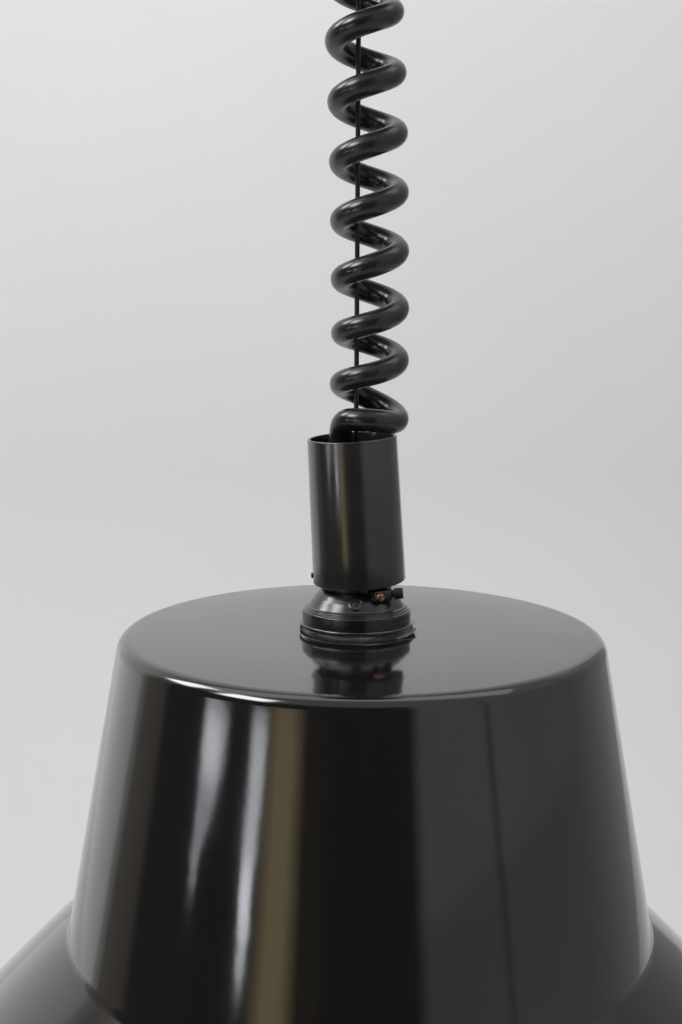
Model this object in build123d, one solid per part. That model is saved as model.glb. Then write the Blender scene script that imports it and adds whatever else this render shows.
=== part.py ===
"""Rise-and-fall pendant lamp: a spring reel under a ceiling cover, a wire rope with a curly
cord around it, and a lampholder that carries a wide enamelled shade.

Frame: millimetres, +Z up. The origin is on the ceiling face, on the line of the wire rope,
and the lamp hangs towards -Z. Heights called "local" are counted from the shade's flat top.
"""

import math
import os

from build123d import *

# --- where the lamp hangs -----------------------------------------------------------------
NOZZLE_MOUTH_Z = -107.0
MOUTH_TO_SHADE = 270.0
SHADE_TOP_Z = NOZZLE_MOUTH_Z - MOUTH_TO_SHADE
HOLDER_X = 0.5
SHADE_X = 2.3

# --- ceiling bracket and reel frame -------------------------------------------------------
BRACKET_THICK = 2.0
BRACKET_WIDE = 24.0
BRACKET_HALF = 57.5
BRACKET_HOLE_SPACING = 68.0
BRACKET_HOLE_R = 2.6
EAR_DROP = 14.0
EAR_WIDE = 14.0
FRAME_THICK = 1.5
CHEEK_X = 13.0
CHEEK_WIDE = 34.0
CHEEK_LOW_Z = -72.0
WEB_FRONT_Y = -11.0
FRAME_SCREW_X = 8.0
M4_R = 2.0

# --- ceiling cover ------------------------------------------------------------------------
CANOPY_R = 60.0
CANOPY_WALL = 1.0
CANOPY_TOP_Z = -0.5
CANOPY_SHOULDER_Z = -45.0
CANOPY_BOTTOM_Z = -92.0
CANOPY_FLAT_R = 18.0
CANOPY_HOLE_R = 13.7
CANOPY_SCREW_Z = -9.0

# --- outlet bush --------------------------------------------------------------------------
BUSH_BORE_R = 12.0
BUSH_SHANK_R = 13.5
BUSH_SHOULDER_R = 19.0
BUSH_MOUTH_R = 14.0
BUSH_TOP_Z = -82.0

# --- reel ---------------------------------------------------------------------------------
ROPE_R = 0.9
ROPE_GAP = 0.3
GROOVE_R = 22.0
WINDING_R = GROOVE_R + ROPE_R
DRUM_Y = WINDING_R + 2 * ROPE_R + ROPE_GAP
DRUM_Z = -40.0
FLANGE_R = 27.0
FLANGE_THICK = 1.6
GROOVE_HALF = 3.2
TURN_STEP = 1.9
AXLE_R = 2.5
RUNNING_CLEARANCE = 0.05
BARREL_R = 24.0
BARREL_WALL = 1.5
BARREL_END_X = 12.0
COVER_THICK = 1.0
SPRING_THICK = 0.5
SPRING_GROWTH = 0.85
SPRING_FIRST_R = 6.0
SPRING_HALF_TURNS = 17
BRAKE_R = 4.0
BRAKE_DROP = 19.0
BRAKE_SCREW_R = 2.5

# --- terminal block and leads -------------------------------------------------------------
BLOCK_X = 8.0
BLOCK_Y = -22.0
BLOCK_SIZE = (30.0, 15.0, 16.0)
BLOCK_TOP_Z = -14.0
CORE_R = 1.2
CORE_STEP = 2.5

# --- curly cord ---------------------------------------------------------------------------
CORD_R = 3.9
COIL_R = 9.8
COIL_HOLE_R = 5.95
COIL_TOP = 244.0
COIL_BOTTOM = 73.0
COIL_TOP_X = 1.3
COIL_BOTTOM_X = 4.5
# Points of the coil's centre line and of the cord's two plain ends: x, y, local height.
COIL_ROUTE = [
    (COIL_TOP_X, 0.0, COIL_TOP),
    (COIL_TOP_X, 0.0, 226.0),
    (2.5, 0.0, 205.0),
    (3.5, 0.0, 180.0),
    (4.2, 0.0, 152.0),
    (4.6, 0.0, 124.0),
    (4.85, 0.0, 99.0),
    (COIL_BOTTOM_X, 0.0, 86.0),
    (COIL_BOTTOM_X, 0.0, COIL_BOTTOM),
]
MOUTH_CORD_X = 7.6
UPPER_TAIL_ROUTE = [
    (COIL_TOP_X + COIL_R, 0.0, COIL_TOP),
    (COIL_TOP_X + COIL_R, 0.0, 254.0),
    (MOUTH_CORD_X, 0.0, MOUTH_TO_SHADE),
]
LOWER_TAIL_END = 12.0
LOWER_TAIL_ROUTE = [
    (COIL_BOTTOM_X - COIL_R, 0.0, COIL_BOTTOM),
    (COIL_BOTTOM_X - COIL_R, 0.0, 58.0),
    (-6.6, 0.0, 38.0),
    (-6.6, 0.0, LOWER_TAIL_END),
]
# The cord inside the ceiling cover, from the bush to the terminal block, at true heights.
LEAD_END_Z = -36.0
LEAD_IN_ROUTE = [
    (MOUTH_CORD_X, 0.0, NOZZLE_MOUTH_Z),
    (5.4125, 0.0, -97.0),
    (5.5, -3.0, -84.0),
    (6.2, -9.0, -70.0),
    (7.4, -18.0, -56.0),
    (BLOCK_X, BLOCK_Y, -45.0),
    (BLOCK_X, BLOCK_Y, LEAD_END_Z),
]

# --- cover tube ---------------------------------------------------------------------------
TUBE_TOP_R = 16.1
TUBE_BOTTOM_R = 16.95
TUBE_WALL = 1.0
TUBE_BOTTOM_AT = (1.5, 0.3, 18.4)
TUBE_TOP_AT = (-1.5, -2.2, 71.1)
TUBE_SCREW_R = 1.1
TUBE_SCREW_UP = 2.6

# --- lampholder, local heights ------------------------------------------------------------
GASKET_THICK = 0.4
GASKET_R = 20.4
RING_R = 21.0
RING_HOLE_R = 17.2
RING_TOP = 2.6
BAND_R = 20.0
BAND_TOP = 7.8
BEAD_R = 19.0
BELL_FOOT = 9.9
BELL_FOOT_R = 17.4
BELL_TOP = 15.6
BELL_TOP_R = 13.0
CAP_HOLE_R = 11.3
CAP_WALL = 1.2
COLLAR_R = 12.8
COLLAR_TOP = 30.0
COLLAR_PLATE = 4.0
FERRULE_R = 2.3
FERRULE_LONG = 6.0
ROPE_HOLE_R = 1.1
CORD_HOLE_R = 4.0
BODY_R = 16.9
BODY_WALL = 1.1
BODY_BOTTOM = -40.0
BODY_TOP = 7.0
INSERT_R = 15.6
INSERT_TOP = 6.0
INSERT_FLOOR = -6.0
INSERT_SKIRT = -36.0
SHELL_R = 13.9
SHELL_BORE_R = 13.3
SHELL_BOTTOM = -34.0
CONTACT_BOTTOM = -9.2

# --- shade, local heights -----------------------------------------------------------------
SHADE_SHEET = 1.2
SHADE_HOLE_R = 19.0
NECK_TOP_R = 88.2
NECK_BASE_R = 108.3
NECK_BASE = -108.7
SHADE_EDGE_FILLET = 5.0
NECK_BASE_FILLET = 6.0
SKIRT_START_DEG = 43.5
RIM_R = 225.0
SKIRT_END = -243.0
RIM_BOTTOM = -250.0
RIM_BEAD_R = 2.0
SHADE_RING_R = 22.5
SHADE_RING_THICK = 3.0

# --- bulb, local heights ------------------------------------------------------------------
BULB_CAP_R = SHELL_BORE_R - 0.08
BULB_CAP_TOP = -12.0
BULB_CAP_BOTTOM = -34.0
BULB_CAP_WALL = 0.4
BULB_R = 30.0
BULB_CENTRE = -85.0
BULB_NECK_R = 12.4
BULB_GLASS = 0.8
BULB_TIP = -9.5


def turned(outline, x=0.0, y=0.0):
    """Solid turned from a closed (radius, height) outline about a vertical line."""
    profile = Plane.XZ * make_face(Polyline(*outline, close=True))
    return Pos(x, y, 0) * revolve(profile, Axis.Z)


def disc(radius, low, high, x=0.0, y=0.0):
    """Upright cylinder between two heights."""
    bottom = (Align.CENTER, Align.CENTER, Align.MIN)
    return Pos(x, y, low) * Cylinder(radius, high - low, align=bottom)


def ring(outer_r, inner_r, low, high, x=0.0, y=0.0):
    """Upright ring between two heights."""
    return disc(outer_r, low, high, x, y) - disc(inner_r, low - 1, high + 1, x, y)


def block(x_range, y_range, z_range):
    """Box between two limits on each axis."""
    size = [high - low for low, high in (x_range, y_range, z_range)]
    middle = [(low + high) / 2 for low, high in (x_range, y_range, z_range)]
    return Pos(*middle) * Box(*size)


def rod_x(radius, x_low, x_high, y, z):
    """Cylinder that lies along X."""
    bottom = (Align.CENTER, Align.CENTER, Align.MIN)
    return Pos(x_low, y, z) * Rot(0, 90, 0) * Cylinder(radius, x_high - x_low, align=bottom)


def rod_y(radius, y_low, y_high, x, z):
    """Cylinder that lies along Y."""
    bottom = (Align.CENTER, Align.CENTER, Align.MIN)
    return Pos(x, y_low, z) * Rot(-90, 0, 0) * Cylinder(radius, y_high - y_low, align=bottom)


def hang(solid):
    """Move a solid made at local heights down to where the lamp head hangs."""
    return Pos(0, 0, SHADE_TOP_Z) * solid


def hang_route(route):
    """Turn local heights along a route into true heights."""
    return [(x, y, z + SHADE_TOP_Z) for x, y, z in route]


def corner_radii(route):
    """Largest arc at each corner that 0.45 of the shorter run allows."""
    points = [Vector(*point) for point in route]
    radii = []
    for before, corner, after in zip(points, points[1:], points[2:]):
        turn = (corner - before).get_angle(after - corner)
        shorter = min((corner - before).length, (after - corner).length)
        radii.append(0.45 * shorter / math.tan(math.radians(turn / 2)))
    return radii


def cord_solid(name, route, outer_r, inner_r=0.0):
    """Sweep a round cord, or a round tube, along straight runs joined by tangent arcs."""
    radii = corner_radii(route)
    path = FilletPolyline(*route, radius=radii) if radii else Line(*route)
    start = Plane(origin=route[0], z_dir=Vector(*route[1]) - Vector(*route[0]))
    section = start * Circle(outer_r)
    if inner_r:
        section -= start * Circle(inner_r)
    solid = sweep(section, path=path)
    share = solid.volume / (section.area * path.length)
    print(name, "radii", [round(r) for r in radii], "length", round(path.length, 1), "volume ratio", round(share, 4))
    return solid


def ceiling_bracket():
    """Strip with two ceiling holes and an ear turned down at each end."""
    strip = block((-BRACKET_HALF, BRACKET_HALF), (-BRACKET_WIDE / 2, BRACKET_WIDE / 2), (-BRACKET_THICK, 0))
    solid = strip
    for side in (-1, 1):
        ear_x = sorted((side * BRACKET_HALF, side * (BRACKET_HALF - BRACKET_THICK)))
        solid += block(ear_x, (-EAR_WIDE / 2, EAR_WIDE / 2), (-EAR_DROP, 0))
    for side in (-1, 1):
        solid -= disc(BRACKET_HOLE_R, -BRACKET_THICK - 1, 1, side * BRACKET_HOLE_SPACING / 2)
        solid -= disc(M4_R, -BRACKET_THICK - 1, 1, side * FRAME_SCREW_X)
        ear_low, ear_high = sorted((side * (BRACKET_HALF - 5), side * (BRACKET_HALF + 1)))
        solid -= rod_x(M4_R, ear_low, ear_high, 0, CANOPY_SCREW_Z)
    return solid


def canopy():
    """Ceiling cover: a straight rim that rounds in to a flat with the outlet hole."""
    def cup(radius, flat_r, low, top):
        rim = Line((radius, top), (radius, CANOPY_SHOULDER_Z))
        side = EllipticalCenterArc(
            (flat_r, CANOPY_SHOULDER_Z), radius - flat_r, CANOPY_SHOULDER_Z - low, start_angle=270, arc_size=90
        )
        rest = Polyline((flat_r, low), (0, low), (0, top), (radius, top))
        return revolve(Plane.XZ * make_face([rim, side, rest]), Axis.Z)

    outside = cup(CANOPY_R, CANOPY_FLAT_R, CANOPY_BOTTOM_Z, CANOPY_TOP_Z)
    inside = cup(CANOPY_R - CANOPY_WALL, CANOPY_FLAT_R, CANOPY_BOTTOM_Z + CANOPY_WALL, CANOPY_TOP_Z + 1)
    solid = outside - inside - disc(CANOPY_HOLE_R, CANOPY_BOTTOM_Z - 1, CANOPY_BOTTOM_Z + 5)
    for low, high in ((-CANOPY_R - 1, -CANOPY_R + 3), (CANOPY_R - 3, CANOPY_R + 1)):
        solid -= rod_x(M4_R, low, high, 0, CANOPY_SCREW_Z)
    return solid


def canopy_screws():
    """Two pan-head screws that hold the cover to the bracket's ears."""
    head_r, head_long = 4.0, 2.4
    parts = []
    for side in (-1, 1):
        near, far = side * (BRACKET_HALF - 4), side * (CANOPY_R + 0.1)
        shank = rod_x(M4_R, min(near, far), max(near, far), 0, CANOPY_SCREW_Z)
        tip = side * (CANOPY_R + 0.1 + head_long)
        head = rod_x(head_r, min(far, tip), max(far, tip), 0, CANOPY_SCREW_Z)
        slot_x = sorted((tip - side * 0.9, tip + side))
        parts.append(shank + head - block(slot_x, (-0.5, 0.5), (CANOPY_SCREW_Z - 5, CANOPY_SCREW_Z + 5)))
    return Compound(children=parts)


def reel_frame():
    """Folded frame: a web under the bracket and two cheeks that hold the reel's axle."""
    cheek_out = CHEEK_X + FRAME_THICK
    back_y = DRUM_Y + CHEEK_WIDE / 2
    top = -BRACKET_THICK
    solid = block((-cheek_out, cheek_out), (WEB_FRONT_Y, back_y), (top - FRAME_THICK, top))
    for side in (-1, 1):
        cheek = block(
            sorted((side * CHEEK_X, side * cheek_out)), (DRUM_Y - CHEEK_WIDE / 2, back_y), (CHEEK_LOW_Z, top)
        )
        lower_edges = cheek.edges().filter_by(Axis.X).group_by(Axis.Z)[0]
        solid += fillet(lower_edges, 12)
        solid -= disc(M4_R, top - FRAME_THICK - 1, top + 1, side * FRAME_SCREW_X)
    solid -= rod_x(AXLE_R, -cheek_out - 1, cheek_out + 1, DRUM_Y, DRUM_Z)
    solid -= rod_x(BRAKE_SCREW_R + RUNNING_CLEARANCE, -cheek_out - 1, 0, DRUM_Y, DRUM_Z - BRAKE_DROP)
    return solid


def frame_screws():
    """Two screws that join the reel frame to the bracket."""
    parts = []
    for side in (-1, 1):
        x = side * FRAME_SCREW_X
        low = -BRACKET_THICK - FRAME_THICK
        parts.append(disc(M4_R, low, -0.3, x) + disc(3.5, low - 2.2, low, x))
    return Compound(children=parts)


def reel_axle():
    """Steel pin across the two cheeks."""
    reach = CHEEK_X + FRAME_THICK + 2.5
    return rod_x(AXLE_R, -reach, reach, DRUM_Y, DRUM_Z)


def axle_clips():
    """A clip outside each cheek that keeps the axle in."""
    parts = []
    for side in (-1, 1):
        near, far = sorted((side * (CHEEK_X + FRAME_THICK), side * (CHEEK_X + FRAME_THICK + 1)))
        clip = rod_x(5.0, near, far, DRUM_Y, DRUM_Z) - rod_x(AXLE_R, near - 1, far + 1, DRUM_Y, DRUM_Z)
        parts.append(clip)
    return Compound(children=parts)


def rope_drum():
    """Grooved drum with a spring barrel on its right side."""
    left = -GROOVE_HALF - FLANGE_THICK
    right = GROOVE_HALF + FLANGE_THICK
    solid = rod_x(GROOVE_R, left, right, DRUM_Y, DRUM_Z)
    for low, high in ((left, -GROOVE_HALF), (GROOVE_HALF, right)):
        solid += rod_x(FLANGE_R, low, high, DRUM_Y, DRUM_Z)
    barrel = rod_x(BARREL_R, right, BARREL_END_X - COVER_THICK, DRUM_Y, DRUM_Z)
    barrel -= rod_x(BARREL_R - BARREL_WALL, right, BARREL_END_X, DRUM_Y, DRUM_Z)
    solid += barrel
    solid -= rod_x(AXLE_R + RUNNING_CLEARANCE, left - 1, right + 1, DRUM_Y, DRUM_Z)
    return solid


def drum_cover():
    """Plate that closes the spring barrel."""
    plate = rod_x(BARREL_R, BARREL_END_X - COVER_THICK, BARREL_END_X, DRUM_Y, DRUM_Z)
    return plate - rod_x(AXLE_R + RUNNING_CLEARANCE, 0, BARREL_END_X + 1, DRUM_Y, DRUM_Z)


def mainspring():
    """Flat spiral strip that winds as the lamp is pulled down."""
    def spiral(first_r):
        arcs = []
        for half in range(SPRING_HALF_TURNS):
            centre = SPRING_GROWTH * (half % 2)
            arcs.append(CenterArc((centre, 0), first_r + half * SPRING_GROWTH, 180 * (half % 2), 180))
        return arcs

    inner, outer = spiral(SPRING_FIRST_R), spiral(SPRING_FIRST_R + SPRING_THICK)
    caps = [Line(inner[0] @ 0, outer[0] @ 0), Line(inner[-1] @ 1, outer[-1] @ 1)]
    strip = extrude(make_face(inner + outer + caps), BARREL_END_X - COVER_THICK - GROOVE_HALF - FLANGE_THICK - 0.8)
    return Pos(GROOVE_HALF + FLANGE_THICK + 0.4, DRUM_Y, DRUM_Z) * Rot(0, 90, 0) * strip


def rope_winding():
    """Three turns of rope laid side by side on the drum."""
    parts = []
    for turn in (-1, 0, 1):
        profile = Pos(turn * TURN_STEP, WINDING_R, 0) * Circle(ROPE_R)
        parts.append(Pos(0, DRUM_Y, DRUM_Z) * revolve(profile, Axis.X))
    return Compound(children=parts)


def brake_pad():
    """Felt pad that rubs on the drum's left flange."""
    face = -GROOVE_HALF - FLANGE_THICK - ROPE_GAP
    return rod_x(BRAKE_R, face - 3.5, face, DRUM_Y, DRUM_Z - BRAKE_DROP)


def brake_screw():
    """Slotted screw in the left cheek that sets the brake."""
    pad_back = -GROOVE_HALF - FLANGE_THICK - ROPE_GAP - 3.5
    cheek_out = -CHEEK_X - FRAME_THICK
    y, z = DRUM_Y, DRUM_Z - BRAKE_DROP
    shank = rod_x(BRAKE_SCREW_R, cheek_out - 2, pad_back - ROPE_GAP, y, z)
    head = rod_x(5.0, cheek_out - 5, cheek_out - 2, y, z)
    return shank + head - block((cheek_out - 6, cheek_out - 4), (y - 0.6, y + 0.6), (z - 6, z + 6))


def terminal_block():
    """Three-way terminal block that hangs from the bracket on a leg."""
    wide, deep, tall = BLOCK_SIZE
    low, high = BLOCK_TOP_Z - tall, BLOCK_TOP_Z
    x_range = (BLOCK_X - wide / 2, BLOCK_X + wide / 2)
    y_range = (BLOCK_Y - deep / 2, BLOCK_Y + deep / 2)
    solid = block(x_range, y_range, (low, high))
    for step in (-1, 1):
        groove_x = BLOCK_X + step * wide / 6
        solid -= block((groove_x - 0.8, groove_x + 0.8), y_range, (high - 3, high + 1))
    for step in (-1, 0, 1):
        solid -= rod_y(2.2, y_range[0] - 1, y_range[0] + 4, BLOCK_X + step * wide / 3, (low + high) / 2)
    leg = block((BLOCK_X - 4, BLOCK_X + 4), (y_range[1] - 2, WEB_FRONT_Y - 0.5), (high, high + 2))
    riser = block((BLOCK_X - 4, BLOCK_X + 4), (WEB_FRONT_Y - 2.5, WEB_FRONT_Y - 0.5), (high, -BRACKET_THICK))
    return solid + leg + riser


def terminal_screws():
    """Three brass screws in the block's wells."""
    wide, deep, tall = BLOCK_SIZE
    front = BLOCK_Y - deep / 2
    z = BLOCK_TOP_Z - tall / 2
    parts = []
    for step in (-1, 0, 1):
        x = BLOCK_X + step * wide / 3
        screw = rod_y(1.9, front + 1.5, front + 4, x, z)
        parts.append(screw - block((x - 2, x + 2), (front + 1, front + 2.1), (z - 0.3, z + 0.3)))
    return Compound(children=parts)


def earth_tag():
    """Tinned tag under the bracket with its own small screw."""
    x = -24.0
    tag = block((x - 4, x + 4), (-4, 4), (-BRACKET_THICK - 0.8, -BRACKET_THICK))
    tab = block((x - 3, x + 3), (-9, -4), (-BRACKET_THICK - 0.8, -BRACKET_THICK))
    screw = disc(3.0, -BRACKET_THICK - 2.8, -BRACKET_THICK - 0.8, x)
    return tag + tab + screw


def outlet_bush():
    """Flanged bush through the cover's floor that the rope and cord leave by."""
    outline = [
        (BUSH_BORE_R, BUSH_TOP_Z),
        (BUSH_SHANK_R, BUSH_TOP_Z),
        (BUSH_SHANK_R, CANOPY_BOTTOM_Z),
        (BUSH_SHOULDER_R, CANOPY_BOTTOM_Z),
        (BUSH_SHOULDER_R, CANOPY_BOTTOM_Z - 2.5),
        (BUSH_MOUTH_R, NOZZLE_MOUTH_Z),
        (BUSH_BORE_R, NOZZLE_MOUTH_Z),
    ]
    return turned(outline)


def bush_nut():
    """Hexagon nut that clamps the bush inside the cover."""
    low = CANOPY_BOTTOM_Z + CANOPY_WALL
    nut = Pos(0, 0, low) * extrude(RegularPolygon(17.0, 6), 5.0)
    return nut - disc(BUSH_SHANK_R, low - 1, low + 6)


def cores(x, y, low, high):
    """Three insulated cores that stand side by side."""
    parts = []
    for step in (-1, 0, 1):
        parts.append(disc(CORE_R, low, high, x + step * CORE_STEP, y))
    return Compound(children=parts)


def rope_lead():
    """Rope from the drum down to the bush's mouth."""
    return disc(ROPE_R, NOZZLE_MOUTH_Z, DRUM_Z)


def wire_rope():
    """Rope from the bush's mouth down to the ferrule's lower end."""
    low = SHADE_TOP_Z + COLLAR_TOP - COLLAR_PLATE - FERRULE_LONG
    return disc(ROPE_R, low, NOZZLE_MOUTH_Z)


def rope_ferrule():
    """Crimped stop under the collar's plate that carries the lamp."""
    high = COLLAR_TOP - COLLAR_PLATE
    return hang(ring(FERRULE_R, ROPE_R, high - FERRULE_LONG, high))


def bell_outside():
    """Outer shape of the lampholder's cap, filled in."""
    wall = Polyline(
        (0, RING_TOP), (BAND_R, RING_TOP), (BAND_R, BAND_TOP), (BEAD_R, BAND_TOP + 0.7), (BEAD_R, BAND_TOP + 1.1)
    )
    bead = ThreePointArc((BEAD_R, BAND_TOP + 1.1), (BEAD_R - 0.2, BAND_TOP + 1.7), (BELL_FOOT_R, BELL_FOOT))
    bell = TangentArc((BELL_FOOT_R, BELL_FOOT), (BELL_TOP_R, BELL_TOP), tangent=(-0.45, 1.0))
    close = Polyline((BELL_TOP_R, BELL_TOP), (0, BELL_TOP), (0, RING_TOP))
    return Pos(HOLDER_X, 0, 0) * revolve(Plane.XZ * make_face([wall, bead, bell, close]), Axis.Z)


def holder_cap():
    """Bell-shaped cap over the lampholder, screwed down on its body."""
    inside = turned(
        [
            (0, RING_TOP - 1),
            (RING_HOLE_R + 0.2, RING_TOP - 1),
            (RING_HOLE_R + 0.2, BAND_TOP),
            (BELL_FOOT_R - CAP_WALL - 1.0, BELL_FOOT - 0.6),
            (CAP_HOLE_R, BELL_TOP - CAP_WALL),
            (CAP_HOLE_R, BELL_TOP + 1),
            (0, BELL_TOP + 1),
        ],
        HOLDER_X,
    )
    return hang(bell_outside() - inside - hollow_for_rivet())


def hollow_for_rivet():
    """Seat for the rivet on the bell's front slope."""
    return rivet_place() * Cylinder(1.25, 8)


def rivet_place():
    """Place and direction of the rivet: on the front slope, square to it."""
    return Pos(HOLDER_X - 0.4, -15.3, 12.9) * Rot(50, 0, 0)


def cap_rivet():
    """Round-headed rivet on the front of the bell."""
    head = Cylinder(2.7, 0.9, align=(Align.CENTER, Align.CENTER, Align.MIN))
    shank = Cylinder(1.25, 2.4, align=(Align.CENTER, Align.CENTER, Align.MAX))
    return hang(rivet_place() * (head + shank) - (bell_outside() - hollow_for_rivet()))


def grip_collar():
    """Collar on top of the bell: the rope hangs by its plate and the cord goes through it."""
    plate_low = COLLAR_TOP - COLLAR_PLATE
    solid = disc(COLLAR_R, BELL_TOP, COLLAR_TOP, HOLDER_X)
    solid -= disc(CAP_HOLE_R, BELL_TOP - 1, plate_low, HOLDER_X)
    solid -= disc(ROPE_HOLE_R, plate_low - 1, COLLAR_TOP + 1)
    solid -= disc(CORD_HOLE_R, plate_low - 1, COLLAR_TOP + 1, LOWER_TAIL_ROUTE[-1][0])
    return hang(solid)


def grip_lug():
    """Lug on the collar's right front that carries the earth screw and the clamp screw."""
    body = block((5.0, 13.2), (-15.2, -8.0), (12.8, 17.4))
    body = fillet(body.edges().filter_by(Axis.Z), 2.0)
    body -= bell_outside()
    body -= disc(COLLAR_R, BELL_TOP - 1, COLLAR_TOP, HOLDER_X)
    body -= rod_y(1.0, -16, -13.0, 8.7, 14.8)
    body -= rod_x(1.3, 11.2, 14, -10.6, 15.5)
    return hang(body.solids().sort_by(SortBy.VOLUME)[-1])


def earth_screw():
    """Copper-coloured slotted screw that faces the front."""
    screw = rod_y(1.4, -16.3, -15.2, 8.7, 14.8) + rod_y(1.0, -15.2, -13.2, 8.7, 14.8)
    return hang(screw - block((7, 10.4), (-16.6, -15.8), (14.55, 15.05)))


def clamp_screw():
    """Black knurled screw that points to the right and nips the cord."""
    shank = rod_x(1.3, 11.5, 13.7, -10.6, 15.5)
    head = rod_x(2.05, 13.7, 17.2, -10.6, 15.5)
    return hang(shank + head - block((16.5, 18), (-13, -8), (15.2, 15.8)))


def holder_ring():
    """Knurled ring that clamps the shade from above."""
    return hang(ring(RING_R, RING_HOLE_R, GASKET_THICK, RING_TOP, HOLDER_X))


def ring_gasket():
    """Thin washer between the ring and the shade, with a loose tab at its right front."""
    tab = Pos(HOLDER_X + 17.6, -10.2, 0) * Rot(0, 0, -30) * block((0, 5.2), (-1.6, 1.6), (0, GASKET_THICK))
    return hang(ring(GASKET_R, RING_HOLE_R + 2.2, 0, GASKET_THICK, HOLDER_X) + tab)


def holder_body():
    """Threaded skirt of the lampholder, through the hole in the shade."""
    return hang(ring(BODY_R, BODY_R - BODY_WALL, BODY_BOTTOM, BODY_TOP, HOLDER_X))


def ceramic_insert():
    """Ceramic cup that carries the screw shell and the contacts."""
    solid = disc(INSERT_R, INSERT_SKIRT, INSERT_TOP, HOLDER_X)
    solid -= disc(SHELL_R + 0.2, INSERT_SKIRT - 1, INSERT_FLOOR, HOLDER_X)
    for side in (-1, 1):
        solid -= disc(2.4, INSERT_TOP - 3, INSERT_TOP + 1, HOLDER_X + side * 4.0, 8.0)
    return hang(solid)


def screw_shell():
    """Threaded shell that takes the bulb's cap, made plain."""
    return hang(ring(SHELL_R, SHELL_BORE_R, SHELL_BOTTOM, INSERT_FLOOR, HOLDER_X))


def centre_contact():
    """Sprung tongue that meets the tip of the bulb."""
    foot = block((HOLDER_X - 9, HOLDER_X - 5), (-2.5, 2.5), (INSERT_FLOOR - 0.8, INSERT_FLOOR))
    tongue = block((HOLDER_X - 5, HOLDER_X + 4), (-2.5, 2.5), (CONTACT_BOTTOM, CONTACT_BOTTOM + 0.8))
    riser = block((HOLDER_X - 5.8, HOLDER_X - 5), (-2.5, 2.5), (CONTACT_BOTTOM, INSERT_FLOOR))
    return hang(foot + riser + tongue)


def side_contact():
    """Short tongue that joins the screw shell to its terminal."""
    return hang(block((HOLDER_X + 8, HOLDER_X + 12), (-2.0, 2.0), (INSERT_FLOOR - 0.8, INSERT_FLOOR)))


def insert_screws():
    """Two brass terminal screws sunk in the top of the insert."""
    parts = []
    for side in (-1, 1):
        x = HOLDER_X + side * 4.0
        screw = disc(2.2, INSERT_TOP - 3, INSERT_TOP - 0.8, x, 8.0)
        parts.append(screw - block((x - 3, x + 3), (7.7, 8.3), (INSERT_TOP - 1.5, INSERT_TOP)))
    return hang(Compound(children=parts))


def tube_plane():
    """Plane on the cover tube's lower end, square to its leaning axis."""
    bottom, top = Vector(*TUBE_BOTTOM_AT), Vector(*TUBE_TOP_AT)
    return Plane(origin=bottom, x_dir=(1, 0, 0.05), z_dir=top - bottom)


def tube_length():
    """Length of the cover tube along its axis."""
    return (Vector(*TUBE_TOP_AT) - Vector(*TUBE_BOTTOM_AT)).length


def cover_tube():
    """Thin tapered tube over the cord's entry, leaning on the lug below it."""
    long = tube_length()
    outline = [
        (TUBE_BOTTOM_R - TUBE_WALL, 0),
        (TUBE_BOTTOM_R, 0),
        (TUBE_TOP_R, long),
        (TUBE_TOP_R - TUBE_WALL, long),
    ]
    tube = turned(outline)
    hole = Pos(-TUBE_BOTTOM_R, 0, TUBE_SCREW_UP) * Rot(0, 90, 0) * Cylinder(TUBE_SCREW_R, 6)
    return hang(tube_plane() * (tube - hole))


def cover_screw():
    """Small grub screw low on the cover tube's left side."""
    bottom = (Align.CENTER, Align.CENTER, Align.MIN)
    screw = Pos(-TUBE_BOTTOM_R - 0.7, 0, TUBE_SCREW_UP) * Rot(0, 90, 0) * Cylinder(TUBE_SCREW_R, 2.2, align=bottom)
    return hang(tube_plane() * screw)


def shade_outline(inset, top, low):
    """Face of the shade's half section, set in from the outer surface, filled to the axis."""
    neck_lean = math.atan2(NECK_BASE_R - NECK_TOP_R, -NECK_BASE)
    start = math.radians(SKIRT_START_DEG)
    wide, tall = RIM_R - NECK_BASE_R, NECK_BASE - SKIRT_END
    chord_turn = math.atan2(tall, wide) - start
    arc_r = math.hypot(wide, tall) / (2 * math.sin(chord_turn))
    centre_r = NECK_BASE_R - arc_r * math.sin(start)
    centre_z = NECK_BASE - arc_r * math.cos(start)

    def on_arc(turn):
        angle = start + turn
        reach = arc_r - inset
        return centre_r + reach * math.sin(angle), centre_z + reach * math.cos(angle)

    between = math.pi / 2 - neck_lean - start
    slip = inset * math.tan(between / 2)
    first_r, first_z = on_arc(0)
    corner = (first_r - slip * math.cos(start), first_z + slip * math.sin(start))
    neck_top = (NECK_TOP_R - inset / math.cos(neck_lean) + inset * math.tan(neck_lean), -inset)
    end = on_arc(2 * chord_turn)
    rim_r = RIM_R - inset
    edges = [
        Polyline((0, top), neck_top, corner),
        ThreePointArc(corner, on_arc(chord_turn), end),
        Polyline(end, (rim_r, SKIRT_END + inset * 0.5), (rim_r, low), (0, low), (0, top)) if inset
        else Polyline(end, (rim_r, low), (0, low), (0, top)),
    ]
    face = make_face(edges)
    shoulder = face.vertices().sort_by_distance(neck_top)[0]
    waist = face.vertices().sort_by_distance(corner)[0]
    face = fillet(shoulder, SHADE_EDGE_FILLET - inset)
    waist = face.vertices().sort_by_distance(corner)[0]
    return fillet(waist, NECK_BASE_FILLET + inset)


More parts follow.
